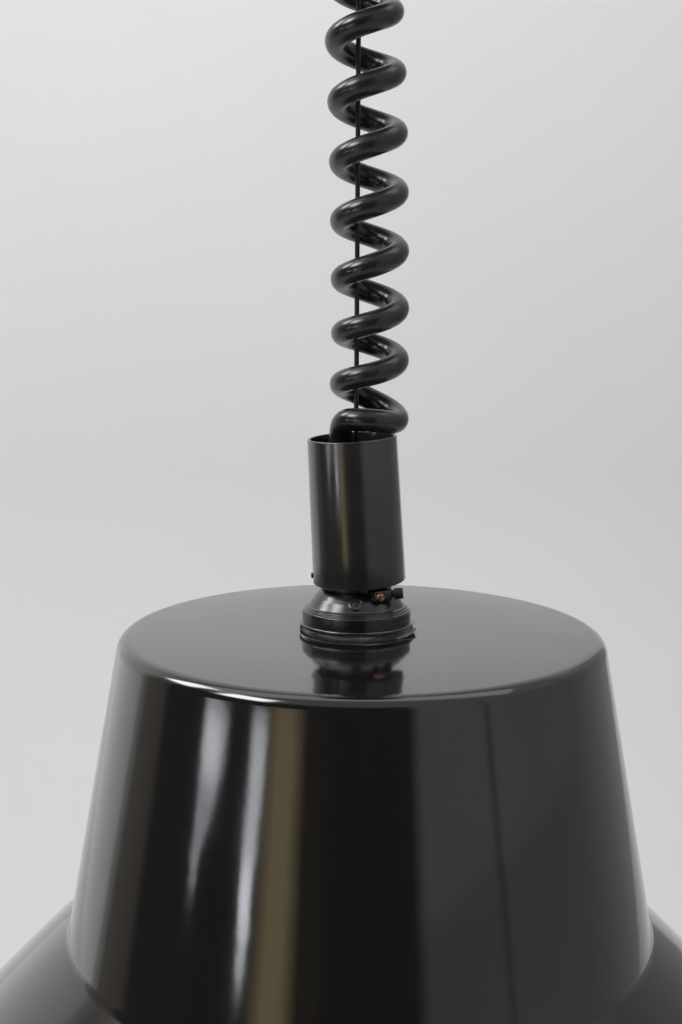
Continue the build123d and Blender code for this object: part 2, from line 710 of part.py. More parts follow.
def shade():
    """Spun steel shade: flat top, steep neck, wide skirt and a rolled rim."""
    outside = revolve(Plane.XZ * shade_outline(0, 0, RIM_BOTTOM), Axis.Z)
    inside = revolve(Plane.XZ * shade_outline(SHADE_SHEET, -SHADE_SHEET, RIM_BOTTOM - 10), Axis.Z)
    bead_profile = Plane.XZ * Pos(RIM_R - SHADE_SHEET / 2, RIM_BOTTOM + 0.5) * Circle(RIM_BEAD_R)
    solid = outside - inside + revolve(bead_profile, Axis.Z)
    solid = Pos(SHADE_X, 0, 0) * solid - disc(SHADE_HOLE_R, -10, 10, SHADE_X)
    return hang(solid)


def shade_ring():
    """Threaded ring that clamps the shade from below."""
    return hang(ring(SHADE_RING_R, RING_HOLE_R, -SHADE_SHEET - SHADE_RING_THICK, -SHADE_SHEET, HOLDER_X))


def bulb_cap():
    """Screw cap of the bulb, made plain: a thin cup with a hole for its insulator."""
    solid = disc(BULB_CAP_R, BULB_CAP_BOTTOM, BULB_CAP_TOP, HOLDER_X)
    solid -= disc(BULB_CAP_R - BULB_CAP_WALL, BULB_CAP_BOTTOM - 1, BULB_CAP_TOP - BULB_CAP_WALL, HOLDER_X)
    return hang(solid - disc(6.0, BULB_CAP_TOP - 2, BULB_CAP_TOP + 1, HOLDER_X))


def bulb_insulator():
    """Dark glass cone between the cap and its tip."""
    low, high = BULB_CAP_TOP - BULB_CAP_WALL, BULB_TIP - 0.6
    return hang(turned([(0, low), (6.0, low), (6.0, BULB_CAP_TOP), (4.4, high), (0, high)], HOLDER_X))


def bulb_contact():
    """Soldered tip of the bulb."""
    return hang(disc(4.2, BULB_TIP - 0.6, BULB_TIP, HOLDER_X))


def bulb_glass():
    """Opal glass envelope: a ball that runs into a cone and a short neck."""
    def envelope(inset):
        ball, neck = BULB_R - inset, BULB_NECK_R - inset
        reach = BULB_CAP_BOTTOM - 6 - BULB_CENTRE
        lean = math.atan2(reach, neck)
        touch = lean - math.acos(ball / math.hypot(reach, neck))
        touch_at = (ball * math.cos(touch), BULB_CENTRE + ball * math.sin(touch))
        middle = (touch - math.pi / 2) / 2
        middle_at = (ball * math.cos(middle), BULB_CENTRE + ball * math.sin(middle))
        top = BULB_CAP_BOTTOM + (1 if inset else 0)
        cone = Polyline((0, top), (neck, top), (neck, BULB_CAP_BOTTOM - 6), touch_at)
        arc = ThreePointArc(touch_at, middle_at, (0, BULB_CENTRE - ball))
        axis = Line((0, BULB_CENTRE - ball), (0, top))
        return revolve(Plane.XZ * make_face([cone, arc, axis]), Axis.Z)

    return hang(Pos(HOLDER_X, 0, 0) * (envelope(0) - envelope(BULB_GLASS)))


def all_nodes():
    """Every sub-part by name."""
    lead_top = BLOCK_TOP_Z - BLOCK_SIZE[2]
    lower_x = LOWER_TAIL_ROUTE[-1][0]
    core_top = SHADE_TOP_Z + LOWER_TAIL_END
    nodes = {
        "cord_lead_in": cord_solid("cord_lead_in", LEAD_IN_ROUTE, CORD_R),
        "upper_cores": cores(BLOCK_X, BLOCK_Y, LEAD_END_Z, lead_top),
        "cord_tail_upper": cord_solid("cord_tail_upper", hang_route(UPPER_TAIL_ROUTE), CORD_R),
        "curly_cord": cord_solid("curly_cord", hang_route(COIL_ROUTE), COIL_R + CORD_R, COIL_HOLE_R),
        "cord_tail_lower": cord_solid("cord_tail_lower", hang_route(LOWER_TAIL_ROUTE), CORD_R),
        "lower_cores": cores(lower_x, 0.0, SHADE_TOP_Z + INSERT_TOP, core_top),
    }
    makers = (
        ceiling_bracket, canopy, canopy_screws, reel_frame, frame_screws, reel_axle, axle_clips, rope_drum,
        drum_cover, mainspring, rope_winding, brake_pad, brake_screw, terminal_block, terminal_screws,
        earth_tag, outlet_bush, bush_nut, rope_lead, wire_rope, rope_ferrule, holder_cap, cap_rivet,
        grip_collar, grip_lug, earth_screw, clamp_screw, holder_ring, ring_gasket, holder_body,
        ceramic_insert, screw_shell, centre_contact, side_contact, insert_screws, cover_tube, cover_screw,
        shade, shade_ring, bulb_cap, bulb_insulator, bulb_contact, bulb_glass,
    )
    for maker in makers:
        nodes[maker.__name__] = maker()
    return nodes


os.makedirs("parts", exist_ok=True)
for node_name, node_solid in all_nodes().items():
    export_step(node_solid, os.path.join("parts", node_name + ".step"))
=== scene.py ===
"""Looks of a rise-and-fall pendant lamp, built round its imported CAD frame.

Lengths are written in millimetres where a maker would give them and turned to metres by mm().
Heights called local are counted from the flat top of the shade.
"""

import logging
import math
from dataclasses import dataclass, field
from enum import Enum
from typing import Callable, ClassVar, Iterable, Sequence

import bmesh
import bpy
from mathutils import Matrix, Vector


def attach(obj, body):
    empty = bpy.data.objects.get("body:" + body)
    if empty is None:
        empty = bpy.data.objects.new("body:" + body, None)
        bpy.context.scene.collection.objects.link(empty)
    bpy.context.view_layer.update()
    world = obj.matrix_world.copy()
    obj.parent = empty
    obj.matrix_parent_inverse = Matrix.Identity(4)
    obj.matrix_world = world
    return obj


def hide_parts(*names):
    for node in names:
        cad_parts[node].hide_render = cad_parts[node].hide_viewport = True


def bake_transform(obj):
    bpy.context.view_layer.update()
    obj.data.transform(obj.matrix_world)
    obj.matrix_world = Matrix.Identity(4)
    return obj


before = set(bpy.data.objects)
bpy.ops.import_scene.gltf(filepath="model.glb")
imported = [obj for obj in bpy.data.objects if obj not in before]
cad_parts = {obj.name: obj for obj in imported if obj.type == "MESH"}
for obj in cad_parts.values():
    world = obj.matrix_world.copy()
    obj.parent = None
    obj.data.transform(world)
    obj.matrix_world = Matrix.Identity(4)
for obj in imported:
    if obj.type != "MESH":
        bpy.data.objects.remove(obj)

LOG = logging.getLogger("pendant_lamp")
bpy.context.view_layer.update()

Point = tuple[float, float, float]
Pair = tuple[float, float]
Outline = list[Pair]
Ripple = Callable[[float, float, float], float]
Piece = bpy.types.Object
Tree = bpy.types.NodeTree
Node = bpy.types.Node
Socket = bpy.types.NodeSocket

# Local height of the ceiling bush's mouth, and the shade's top under the ceiling.
MOUTH_HEIGHT = 270.0
SHADE_TOP = -377.0
# Depth under the shade's top that the studio cards are aimed at.
NECK_MIDDLE = 54.0
# Axes of the lampholder and of the shade.
HOLDER_X = 0.5
SHADE_X = 2.3
# Edges sharper than this stay sharp.
CREASE_DEG = 38.0
CARD_STEPS = 24
PAIR_STEPS = 12


def mm(value: float) -> float:
    """Turn millimetres to metres."""
    return value / 1000.0


def hung(x: float, y: float, local: float) -> Vector:
    """Place a point given by its local height, in metres in the frame."""
    return Vector((mm(x), mm(y), mm(local + SHADE_TOP)))


def linear(hex_colour: str) -> tuple[float, float, float, float]:
    """Turn an sRGB hex colour to linear values.

    Args:
        hex_colour: Six hex digits, such as "1a1a1c".

    Returns:
        Linear red, green and blue with an alpha of 1.
    """
    channels = [int(hex_colour[place:place + 2], 16) / 255.0 for place in (0, 2, 4)]
    parts = [c / 12.92 if c <= 0.04045 else ((c + 0.055) / 1.055) ** 2.4 for c in channels]
    return parts[0], parts[1], parts[2], 1.0


# Finishes.


def add_node(tree: Tree, kind: str, settings: dict | None = None, links: dict | None = None) -> Node:
    """Add one shader node with its settings and incoming links.

    Args:
        tree: Node tree to add to.
        kind: Blender's type name for the node.
        settings: Attributes by name, and socket values by socket name or number.
        links: Output sockets that feed this node's inputs, by input name or number.

    Returns:
        The new node.
    """
    node = tree.nodes.new(kind)
    for name, value in (settings or {}).items():
        if isinstance(name, str) and hasattr(node, name):
            setattr(node, name, value)
        else:
            node.inputs[name].default_value = value
    for name, source in (links or {}).items():
        tree.links.new(source, node.inputs[name])
    return node


def new_material(name: str) -> tuple[bpy.types.Material, Tree]:
    """Make a material with an empty node tree."""
    made = bpy.data.materials.new(name)
    made.use_nodes = True
    made.node_tree.nodes.clear()
    return made, made.node_tree


def noise(tree: Tree, place: Socket, size_mm: float, detail: float, roughness: float = 0.5) -> Socket:
    """Wire a noise whose largest spots have a given size."""
    settings = {"Scale": 1.0 / mm(size_mm), "Detail": detail, "Roughness": roughness}
    return add_node(tree, "ShaderNodeTexNoise", settings, {"Vector": place}).outputs["Fac"]


def remap(tree: Tree, value: Socket, source: Pair, target: Pair) -> Socket:
    """Stretch one range of a value over another range."""
    settings = dict(zip(("From Min", "From Max", "To Min", "To Max"), (*source, *target)))
    return add_node(tree, "ShaderNodeMapRange", settings, {"Value": value}).outputs["Result"]


def bump(tree: Tree, height: Socket, depth_mm: float, links: dict[str, Socket]) -> Socket:
    """Raise a pattern by a depth, over the bump that links may hold."""
    settings = {"Strength": 1.0, "Distance": mm(depth_mm)}
    return add_node(tree, "ShaderNodeBump", settings, {"Height": height, **links}).outputs["Normal"]


class Grain(Enum):
    """How a surface's fine pattern runs."""

    EVEN = (1.0, 1.0, 1.0)
    ROUND_THE_AXIS = (1.0, 1.0, 22.0)
    ALONG_X = (0.05, 1.0, 1.0)


@dataclass(frozen=True)
class Finish:
    """A surface made by one process, with its colour, gloss and fine relief.

    Sizes are in millimetres. The tint is where the surface is worn or dusty, and the relief
    is the depth of its fine pattern.
    """

    # Parts of the patches' range over which the tint and the gloss change.
    TINTED: ClassVar[Pair] = (0.35, 0.75)
    GLOSSED: ClassVar[Pair] = (0.3, 0.7)

    label: str
    slot: str
    colour: str
    tint: str
    tint_share: float = 0.35
    patch_mm: float = 18.0
    metallic: float = 0.0
    roughness: float = 0.35
    roughness_spread: float = 0.08
    grain_mm: float = 0.4
    grain: Grain = Grain.EVEN
    relief_mm: float = 0.01
    wave_mm: float = 0.0
    wave_relief_mm: float = 0.0
    ior: float = 1.5
    coat: float = 0.0
    coat_roughness: float = 0.05
    sheen: float = 0.0
    subsurface: float = 0.0

    def material(self) -> bpy.types.Material:
        """Make the material once and give it back each time.

        Returns:
            The finish as a node material.
        """
        made = bpy.data.materials.get(self.label)
        if made is not None:
            return made
        made, tree = new_material(self.label)
        place = add_node(tree, "ShaderNodeTexCoord").outputs["Object"]
        shader = self._shader(tree, place)
        add_node(tree, "ShaderNodeOutputMaterial", links={"Surface": shader.outputs["BSDF"]})
        return made

    def _shader(self, tree: Tree, place: Socket) -> Node:
        """Wire the principled shader for this finish.

        Args:
            tree: The material's node tree.
            place: Object coordinates in metres.

        Returns:
            The shader node.
        """
        patches = noise(tree, place, self.patch_mm, 5.0, 0.6)
        share = remap(tree, patches, self.TINTED, (0.0, self.tint_share))
        colours = {"data_type": "RGBA", 6: linear(self.colour), 7: linear(self.tint)}
        glosses = (max(0.02, self.roughness - self.roughness_spread), self.roughness + self.roughness_spread)
        settings = {
            "Metallic": self.metallic,
            "Coat Weight": self.coat,
            "Coat Roughness": self.coat_roughness,
            "Sheen Weight": self.sheen,
            "Subsurface Weight": self.subsurface,
        }
        if self.metallic < 0.5:
            settings["IOR"] = self.ior
        links = {
            "Base Color": add_node(tree, "ShaderNodeMix", colours, {0: share}).outputs[2],
            "Roughness": remap(tree, patches, self.GLOSSED, glosses),
            "Normal": self._relief(tree, place),
        }
        return add_node(tree, "ShaderNodeBsdfPrincipled", settings, links)

    def _relief(self, tree: Tree, place: Socket) -> Socket:
        """Wire the fine grain and, where there is one, the slow waviness of the surface."""
        stretch = add_node(tree, "ShaderNodeMapping", {"Scale": self.grain.value}, {"Vector": place})
        fine = noise(tree, stretch.outputs["Vector"], self.grain_mm, 3.0)
        normal = bump(tree, fine, self.relief_mm, {})
        if not self.wave_mm:
            return normal
        return bump(tree, noise(tree, place, self.wave_mm, 1.0), self.wave_relief_mm, {"Normal": normal})


# Fired enamel: deep black gloss whose slow waviness bends what it mirrors.
BLACK_ENAMEL = Finish(
    "Enamel_black_fired", "black_enamel", "151414", "1c1a1a", patch_mm=60.0, roughness=0.11,
    roughness_spread=0.03, grain_mm=8.0, relief_mm=0.035, wave_mm=30.0, wave_relief_mm=0.16, ior=1.56,
    coat=0.5, coat_roughness=0.06,
)
# The same enamel fired white inside the shade, with a softer gloss.
WHITE_ENAMEL = Finish(
    "Enamel_white_fired", "black_enamel", "f0f0ed", "e6e6e1", patch_mm=70.0, roughness=0.16, grain_mm=2.4,
    relief_mm=0.002, wave_mm=30.0, wave_relief_mm=0.02, ior=1.54,
)
# Stoved gloss lacquer on thin drawn tube.
BLACK_LACQUER = Finish(
    "Lacquer_black_stoved", "gloss_black_lacquer", "232423", "2d2e2c", patch_mm=9.0, roughness=0.21,
    roughness_spread=0.06, grain_mm=0.9, relief_mm=0.0022, wave_mm=11.0, wave_relief_mm=0.012, ior=1.68,
    coat=0.15, coat_roughness=0.15,
)
# Black-plated spun steel: darker than paint and half glossy, with a faint spun grain.
BLACK_PLATE = Finish(
    "Steel_black_plated", "black_plated_metal", "0f0f10", "232324", patch_mm=5.0, roughness=0.24,
    roughness_spread=0.07, grain_mm=0.35, grain=Grain.ROUND_THE_AXIS, relief_mm=0.004, ior=1.6, coat=0.25,
    coat_roughness=0.12,
)
# The same plating where fingers turn the ring.
WORN_PLATE = Finish(
    "Steel_black_plated_worn", "black_plated_metal", "131313", "2e2e2e", tint_share=0.5, patch_mm=2.5,
    roughness=0.2, roughness_spread=0.06, grain_mm=0.35, relief_mm=0.003, ior=1.95, coat=0.2,
    coat_roughness=0.1,
)
# Powder coat of the ceiling cover: satin black with a fine orange peel.
POWDER_COAT = Finish(
    "Steel_powder_coated", "black_coated_steel", "141415", "1d1d1e", roughness=0.38, grain_mm=1.1,
    relief_mm=0.02,
)
# Extruded PVC: satin black with a slight greasy bloom.
PVC_SHEATH = Finish(
    "PVC_sheath_extruded", "black_cord", "161817", "272a28", tint_share=0.55, patch_mm=7.0, roughness=0.25,
    roughness_spread=0.07, grain_mm=0.5, relief_mm=0.006, wave_mm=6.0, wave_relief_mm=0.02, ior=1.53,
    sheen=0.05,
)
# Nylon-coated steel rope: near black.
COATED_ROPE = Finish(
    "Rope_nylon_coated", "black_rope", "0c0c0d", "1a1a1b", patch_mm=3.0, roughness=0.42, grain_mm=0.3,
    relief_mm=0.006, ior=1.53,
)
# Moulded black nylon: an even satin skin.
BLACK_MOULDING = Finish(
    "Nylon_black_moulded", "black_moulding", "151516", "1d1d1f", roughness=0.3, grain_mm=0.6, relief_mm=0.006,
    ior=1.53,
)
# Acetal of the drum: off-white, waxy, slightly translucent.
ACETAL = Finish(
    "Acetal_moulded", "drum_moulding", "c9c7bd", "bdbaae", roughness=0.34, grain_mm=0.8, relief_mm=0.008,
    ior=1.48, subsurface=0.1,
)
# Zinc-plated pressed steel with a faint yellow bloom and rolling marks.
ZINC_PLATE = Finish(
    "Steel_zinc_plated", "zinc_steel", "a9abad", "8f8d84", patch_mm=6.0, metallic=1.0, roughness=0.36,
    grain_mm=0.7, grain=Grain.ALONG_X, relief_mm=0.005,
)
# Blued spring strip: dark and brownish blue.
SPRING_STEEL = Finish(
    "Steel_spring_blued", "spring_steel", "4a4f5c", "5c5046", patch_mm=8.0, metallic=1.0, roughness=0.3,
    relief_mm=0.003,
)
# Bright nickel: warm silver with fine handling marks.
NICKEL = Finish(
    "Nickel_plated", "nickel", "c8c4ba", "aaa598", patch_mm=4.0, metallic=1.0, roughness=0.2, grain_mm=0.3,
    relief_mm=0.002,
)
# Turned brass with darker tarnish.
BRASS = Finish(
    "Brass_turned", "brass", "c9a45a", "8a6a33", tint_share=0.6, patch_mm=3.0, metallic=1.0, roughness=0.28,
    grain_mm=0.25, relief_mm=0.004,
)
# Copper plate, tarnished brown in patches.
COPPER = Finish(
    "Copper_plated", "copper", "c08a70", "6b4433", tint_share=0.6, patch_mm=1.4, metallic=1.0, roughness=0.26,
    grain_mm=0.2, relief_mm=0.004,
)
# Glazed electrical porcelain: cream white with a hard gloss.
PORCELAIN = Finish(
    "Porcelain_glazed", "porcelain", "e4e0d4", "d6d0c0", roughness=0.14, grain_mm=1.6, relief_mm=0.006,
)
# Pale grey nylon of the terminal block.
PALE_NYLON = Finish(
    "Nylon_natural_moulded", "terminal_moulding", "d6d4c8", "c6c3b5", roughness=0.42, grain_mm=0.7,
    relief_mm=0.008, ior=1.53,
)
# Brown PVC of the cores' insulation.
CORE_SLEEVE = Finish(
    "PVC_core_extruded", "core_sleeve", "5b3521", "6a4430", roughness=0.4, relief_mm=0.004, ior=1.53,
)
# Pressed wool felt of the brake: grey and matt.
FELT = Finish(
    "Felt_pressed", "felt", "8a857b", "6e6a61", patch_mm=2.0, roughness=0.95, roughness_spread=0.03,
    grain_mm=0.35, relief_mm=0.12, sheen=0.5,
)
# Thin rubbery gasket, greyed where it is torn.
GASKET = Finish(
    "Rubber_gasket_cut", "gasket", "7c7c79", "c4c4be", tint_share=0.7, patch_mm=1.6, roughness=0.38,
    relief_mm=0.02, ior=1.52,
)
# Opal glass of the bulb.
OPAL_GLASS = Finish(
    "Glass_opal_blown", "opal_glass", "f2f0ea", "e9e6dd", roughness=0.12, grain_mm=3.0, relief_mm=0.002,
    subsurface=0.25,
)
# Fused black glass between the bulb's cap and tip.
BLACK_GLASS = Finish(
    "Glass_black_fused", "black_glass", "120f14", "1c1820", roughness=0.1, grain_mm=1.0, ior=1.52,
)


# Shapes.


@dataclass(frozen=True)
class Corner:
    """One corner of a half section: its radius from the axis, its height and its rounding."""

    radius: float
    height: float
    rounding: float = 0.0


def rounded(corners: Sequence[Corner], steps: int = 6) -> Outline:
    """Round a half section's corners with arcs.

    Args:
        corners: Corners in order, in millimetres.
        steps: Straight pieces in each arc.

    Returns:
        Points as (radius, height).
    """
    points: Outline = []
    places = [Vector((corner.radius, corner.height)) for corner in corners]
    for place, (at, corner) in enumerate(zip(places, corners)):
        if not corner.rounding or place in (0, len(corners) - 1):
            points.append((at.x, at.y))
            continue
        before, after = places[place - 1] - at, places[place + 1] - at
        half = before.angle(after) / 2
        reach = min(corner.rounding / math.tan(half), 0.48 * before.length, 0.48 * after.length)
        radius = reach * math.tan(half)
        centre = at + (before.normalized() + after.normalized()).normalized() * (radius / math.sin(half))
        first = at + before.normalized() * reach - centre
        last = at + after.normalized() * reach - centre
        turn = first.angle_signed(last)
        for step in range(steps + 1):
            spoke = centre + Matrix.Rotation(-turn * step / steps, 2) @ first
            points.append((spoke.x, spoke.y))
    return points


def arc(centre: Pair, reach: Pair, first: float, last: float, steps: int) -> Outline:
    """Read points of a circle's or an ellipse's arc.

    Args:
        centre: Centre as (radius, height).
        reach: Half widths along the radius and along the height.
        first: First angle in radians, upwards from the outward radius.
        last: Last angle in radians.
        steps: Straight pieces in the arc.

    Returns:
        Points as (radius, height).
    """
    angles = [first + (last - first) * step / steps for step in range(steps + 1)]
    return [(centre[0] + reach[0] * math.cos(a), centre[1] + reach[1] * math.sin(a)) for a in angles]


def add_object(name: str, data: bpy.types.ID) -> Piece:
    """Add an object to the scene."""
    made = bpy.data.objects.new(name, data)
    bpy.context.scene.collection.objects.link(made)
    return made


def ring_faces(sides: int, count: int) -> list[Sequence[int]]:
    """Join rings of points, round and round, into the faces of a closed ring.

    Args:
        sides: Number of rings.
        count: Points in each ring.

    Returns:
        Point numbers of each face.
    """
    faces: list[Sequence[int]] = []
    for side in range(sides):
        here, after = side * count, (side + 1) % sides * count
        for step in range(count):
            ahead = (step + 1) % count
            faces.append((here + step, after + step, after + ahead, here + ahead))
    return faces


def mesh_piece(name: str, points: Iterable[Vector], faces: Iterable[Sequence[int]], finish: Finish) -> Piece:
    """Make a smooth-shaded object from points and faces, and dress it.

    Args:
        name: Name of the piece.
        points: Corners in metres.
        faces: Corner numbers of each face.
        finish: Finish of the whole piece.

    Returns:
        The new object, linked to the scene.
    """
    mesh = bpy.data.meshes.new(name)
    mesh.from_pydata([tuple(point) for point in points], [], [tuple(face) for face in faces])
    tidy = bmesh.new()
    tidy.from_mesh(mesh)
    bmesh.ops.remove_doubles(tidy, verts=tidy.verts, dist=1e-7)
    bmesh.ops.recalc_face_normals(tidy, faces=tidy.faces)
    tidy.to_mesh(mesh)
    tidy.free()
    mesh.shade_smooth()
    mesh.set_sharp_from_angle(angle=math.radians(CREASE_DEG))
    mesh.materials.append(finish.material())
    return add_object(name, mesh)


def lathe(
    name: str, outline: Outline, place: Matrix, finish: Finish, sides: int, ripple: Ripple | None = None
) -> Piece:
    """Turn a closed half section about its own Z axis.

    Args:
        name: Name of the piece.
        outline: Closed outline as (radius, height) in millimetres.
        place: Where the piece's axis and zero height go, in metres.
        finish: Finish of the piece.
        sides: Straight pieces round the axis.
        ripple: Gives the radius at a (radius, height, angle), for a surface that is not round.

    Returns:
        The new object.
    """
    points: list[Vector] = []
    for side in range(sides):
        angle = 2 * math.pi * side / sides
        for radius, height in outline:
            reach = ripple(radius, height, angle) if ripple else radius
            at = (mm(reach * math.cos(angle)), mm(reach * math.sin(angle)), mm(height))
            points.append(place @ Vector(at))
    return mesh_piece(name, points, ring_faces(sides, len(outline)), finish)


def knurl(count: int, depth: float, beyond: float, low: float, high: float) -> Ripple:
    """Cut even ridges into part of a turned piece.

    Args:
        count: Ridges round the axis.
        depth: Depth of the cut in millimetres.
        beyond: Radius past which the surface is cut.
        low: Height where the cut starts.
        high: Height where it ends.

    Returns:
        The cut as lathe() takes it.
    """

    def ripple(radius: float, height: float, angle: float) -> float:
        """Give the cut surface's radius."""
        if radius > beyond and low <= height <= high:
            return radius - depth * (0.5 + 0.5 * math.cos(angle * count))
        return radius

    return ripple


def standing(x: float, y: float, local: float) -> Matrix:
    """Place an upright piece at a local height."""
    return Matrix.Translation(hung(x, y, local))


AXIS = standing(HOLDER_X, 0, 0)


def pointing(at: Vector, along: Sequence[float]) -> Matrix:
    """Place a piece so that its Z axis points along a direction.

    Args:
        at: Foot of the piece in metres.
        along: Direction of its axis.

    Returns:
        The placing matrix.
    """
    turn = Vector(along).to_track_quat("Z", "Y").to_matrix().to_4x4()
    return Matrix.Translation(at) @ turn


def read_route(name: str, controls: Sequence[Point]) -> list[Vector]:
    """Read evenly close points from a NURBS route.

    Args:
        name: Name of the passing curve.
        controls: Given control points.

    Returns:
        Points on the curve in order.
    """
    curve = bpy.data.curves.new(name, "CURVE")
    curve.dimensions = "3D"
    curve.resolution_u = 24
    spline = curve.splines.new("NURBS")
    spline.points.add(len(controls) - 1)
    for knot, control in zip(spline.points, controls):
        knot.co = (*control, 1.0)
    spline.order_u = 3
    spline.use_endpoint_u = True
    holder = add_object(name, curve)
    bpy.context.view_layer.update()
    mesh = bpy.data.meshes.new_from_object(holder)
    points = [vertex.co.copy() for vertex in mesh.vertices]
    bpy.data.meshes.remove(mesh)
    bpy.data.objects.remove(holder)
    bpy.data.curves.remove(curve)
    return points


def even_spacing(points: Sequence[Vector], step: float) -> list[Vector]:
    """Space the points of a path evenly, with its ends kept.

    Args:
        points: Points of the path.
        step: Distance between neighbours.

    Returns:
        The same path with even steps.
    """
    lengths = [0.0]
    for first, second in zip(points, points[1:]):
        lengths.append(lengths[-1] + (second - first).length)
    count = max(2, round(lengths[-1] / step))
    spaced: list[Vector] = []
    place = 0
    for number in range(count + 1):
        want = lengths[-1] * number / count
        while place < len(lengths) - 2 and lengths[place + 1] < want:
            place += 1
        gap = lengths[place + 1] - lengths[place]
        spaced.append(points[place].lerp(points[place + 1], (want - lengths[place]) / gap if gap else 0.0))
    return spaced


def path_length(points: Sequence[Vector]) -> float:
    """Add up the length of a path."""
    return sum((second - first).length for first, second in zip(points, points[1:]))


def tube(
    name: str, path: Sequence[Vector], finish: Finish, sides: int, radius: Callable[[float, float], float]
) -> Piece:
    """Skin a closed tube along a path without twist.

    Args:
        name: Name of the piece.
        path: Points of the centre line in metres.
        finish: Finish of the tube.
        sides: Corners of each ring.
        radius: Radius in metres from the length along the path in metres and the angle.

    Returns:
        The new object.
    """
    points: list[Vector] = []
    faces: list[Sequence[int]] = []
    ahead = (path[1] - path[0]).normalized()
    across = ahead.orthogonal().normalized()
    along = 0.0
    for place, centre in enumerate(path):
        before, after = path[max(0, place - 1)], path[min(len(path) - 1, place + 1)]
        new_ahead = (after - before).normalized()
        across = (ahead.rotation_difference(new_ahead) @ across).normalized()
        ahead = new_ahead
        up = ahead.cross(across).normalized()
        along += (centre - path[place - 1]).length if place else 0.0
        for side in range(sides):
            angle = 2 * math.pi * side / sides
            reach = radius(along, angle)
            points.append(centre + (across * math.cos(angle) + up * math.sin(angle)) * reach)
    around = [(side, (side + 1) % sides) for side in range(sides)]
    last = sides * (len(path) - 1)
    for ring in range(0, last, sides):
        after = ring + sides
        faces += [(ring + here, ring + beside, after + beside, after + here) for here, beside in around]
    for ring, end, order in ((0, path[0], -1), (last, path[-1], 1)):
        faces += [(ring + here, ring + beside, len(points))[::order] for here, beside in around]
        points.append(end.copy())
    return mesh_piece(name, points, faces, finish)


def block(size: Point) -> bmesh.types.BMesh:
    """Start a box of a size in millimetres, about the origin."""
    shape = bmesh.new()
    bmesh.ops.create_cube(shape, size=1.0)
    bmesh.ops.scale(shape, vec=[mm(side) for side in size], verts=shape.verts)
    return shape


def screw(
    name: str, at: Vector, along: Sequence[float], head: Pair, slot: float, shank: float, finish: Finish
) -> Piece:
    """Make a slotted screw with a rounded head.

    Args:
        name: Name of the piece.
        at: Seat of the head in metres.
        along: Direction that the head faces.
        head: Head's radius and height in millimetres.
        slot: Width of the slot in millimetres.
        shank: Length of the shank behind the seat in millimetres.
        finish: Finish of the screw.

    Returns:
        The new object.
    """
    radius, tall = head
    corners = [
        Corner(0.01, -shank), Corner(radius * 0.55, -shank), Corner(radius * 0.55, 0.0),
        Corner(radius, 0.0), Corner(radius, tall, tall * 0.45), Corner(0.01, tall),
    ]
    piece = lathe(name, rounded(corners, 5), pointing(at, along), finish, 48)
    cutter_mesh = bpy.data.meshes.new(name + "_cutter")
    shape = block((radius * 2.6, slot, tall))
    bmesh.ops.translate(shape, vec=(0, 0, mm(tall * 1.02)), verts=shape.verts)
    bmesh.ops.rotate(shape, cent=(0, 0, 0), matrix=Matrix.Rotation(0.6, 3, "Z"), verts=shape.verts)
    shape.to_mesh(cutter_mesh)
    shape.free()
    cutter_mesh.transform(pointing(at, along))
    cut_with(piece, cutter_mesh)
    return piece


def cut_with(piece: Piece, cutter_mesh: bpy.types.Mesh) -> None:
    """Cut a mesh out of a piece for good.

    Args:
        piece: Piece to cut.
        cutter_mesh: Closed mesh in the frame's metres, deleted afterwards.
    """
    cutter = add_object(cutter_mesh.name, cutter_mesh)
    change = piece.modifiers.new("cut", "BOOLEAN")
    change.operation = "DIFFERENCE"
    change.solver = "EXACT"
    change.object = cutter
    bpy.context.view_layer.update()
    graph = bpy.context.evaluated_depsgraph_get()
    result = bpy.data.meshes.new_from_object(piece.evaluated_get(graph))
    piece.modifiers.clear()
    old = piece.data
    piece.data = result
    result.name = piece.name
    bpy.data.meshes.remove(old)
    bpy.data.objects.remove(cutter)
    bpy.data.meshes.remove(cutter_mesh)
    result.set_sharp_from_angle(angle=math.radians(CREASE_DEG))


def settle(piece: Piece, body: str, finish: Finish, *nodes: str) -> None:
    """Ride a piece on its body and hide the CAD nodes that it stands for.

    Args:
        piece: The finished piece.
        body: CAD body that carries it.
        finish: Not used.
        *nodes: CAD nodes that it replaces.
    """
    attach(piece, body)
    if nodes:
        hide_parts(*nodes)
    LOG.info("%s rides on %s", piece.name, body)


# Sub-assemblies.


def turned(
    name: str, corners: Sequence[Corner], steps: int, place: Matrix, sides: int, finish: Finish, body: str,
    node: str, ripple: Ripple | None = None,
) -> None:
    """Turn a piece from its rounded corners and settle it.

    Args:
        name: Name of the piece.
        corners: Corners of its half section.
        steps: Straight pieces in each rounded corner.
        place: Where its axis and zero height go.
        sides: Straight pieces round the axis.
        finish: Finish of the piece.
        body: CAD body that carries it.
        node: CAD node that it replaces.
        ripple: Gives the radius at a (radius, height, angle).
    """
    settle(lathe(name, rounded(corners, steps), place, finish, sides, ripple), body, finish, node)


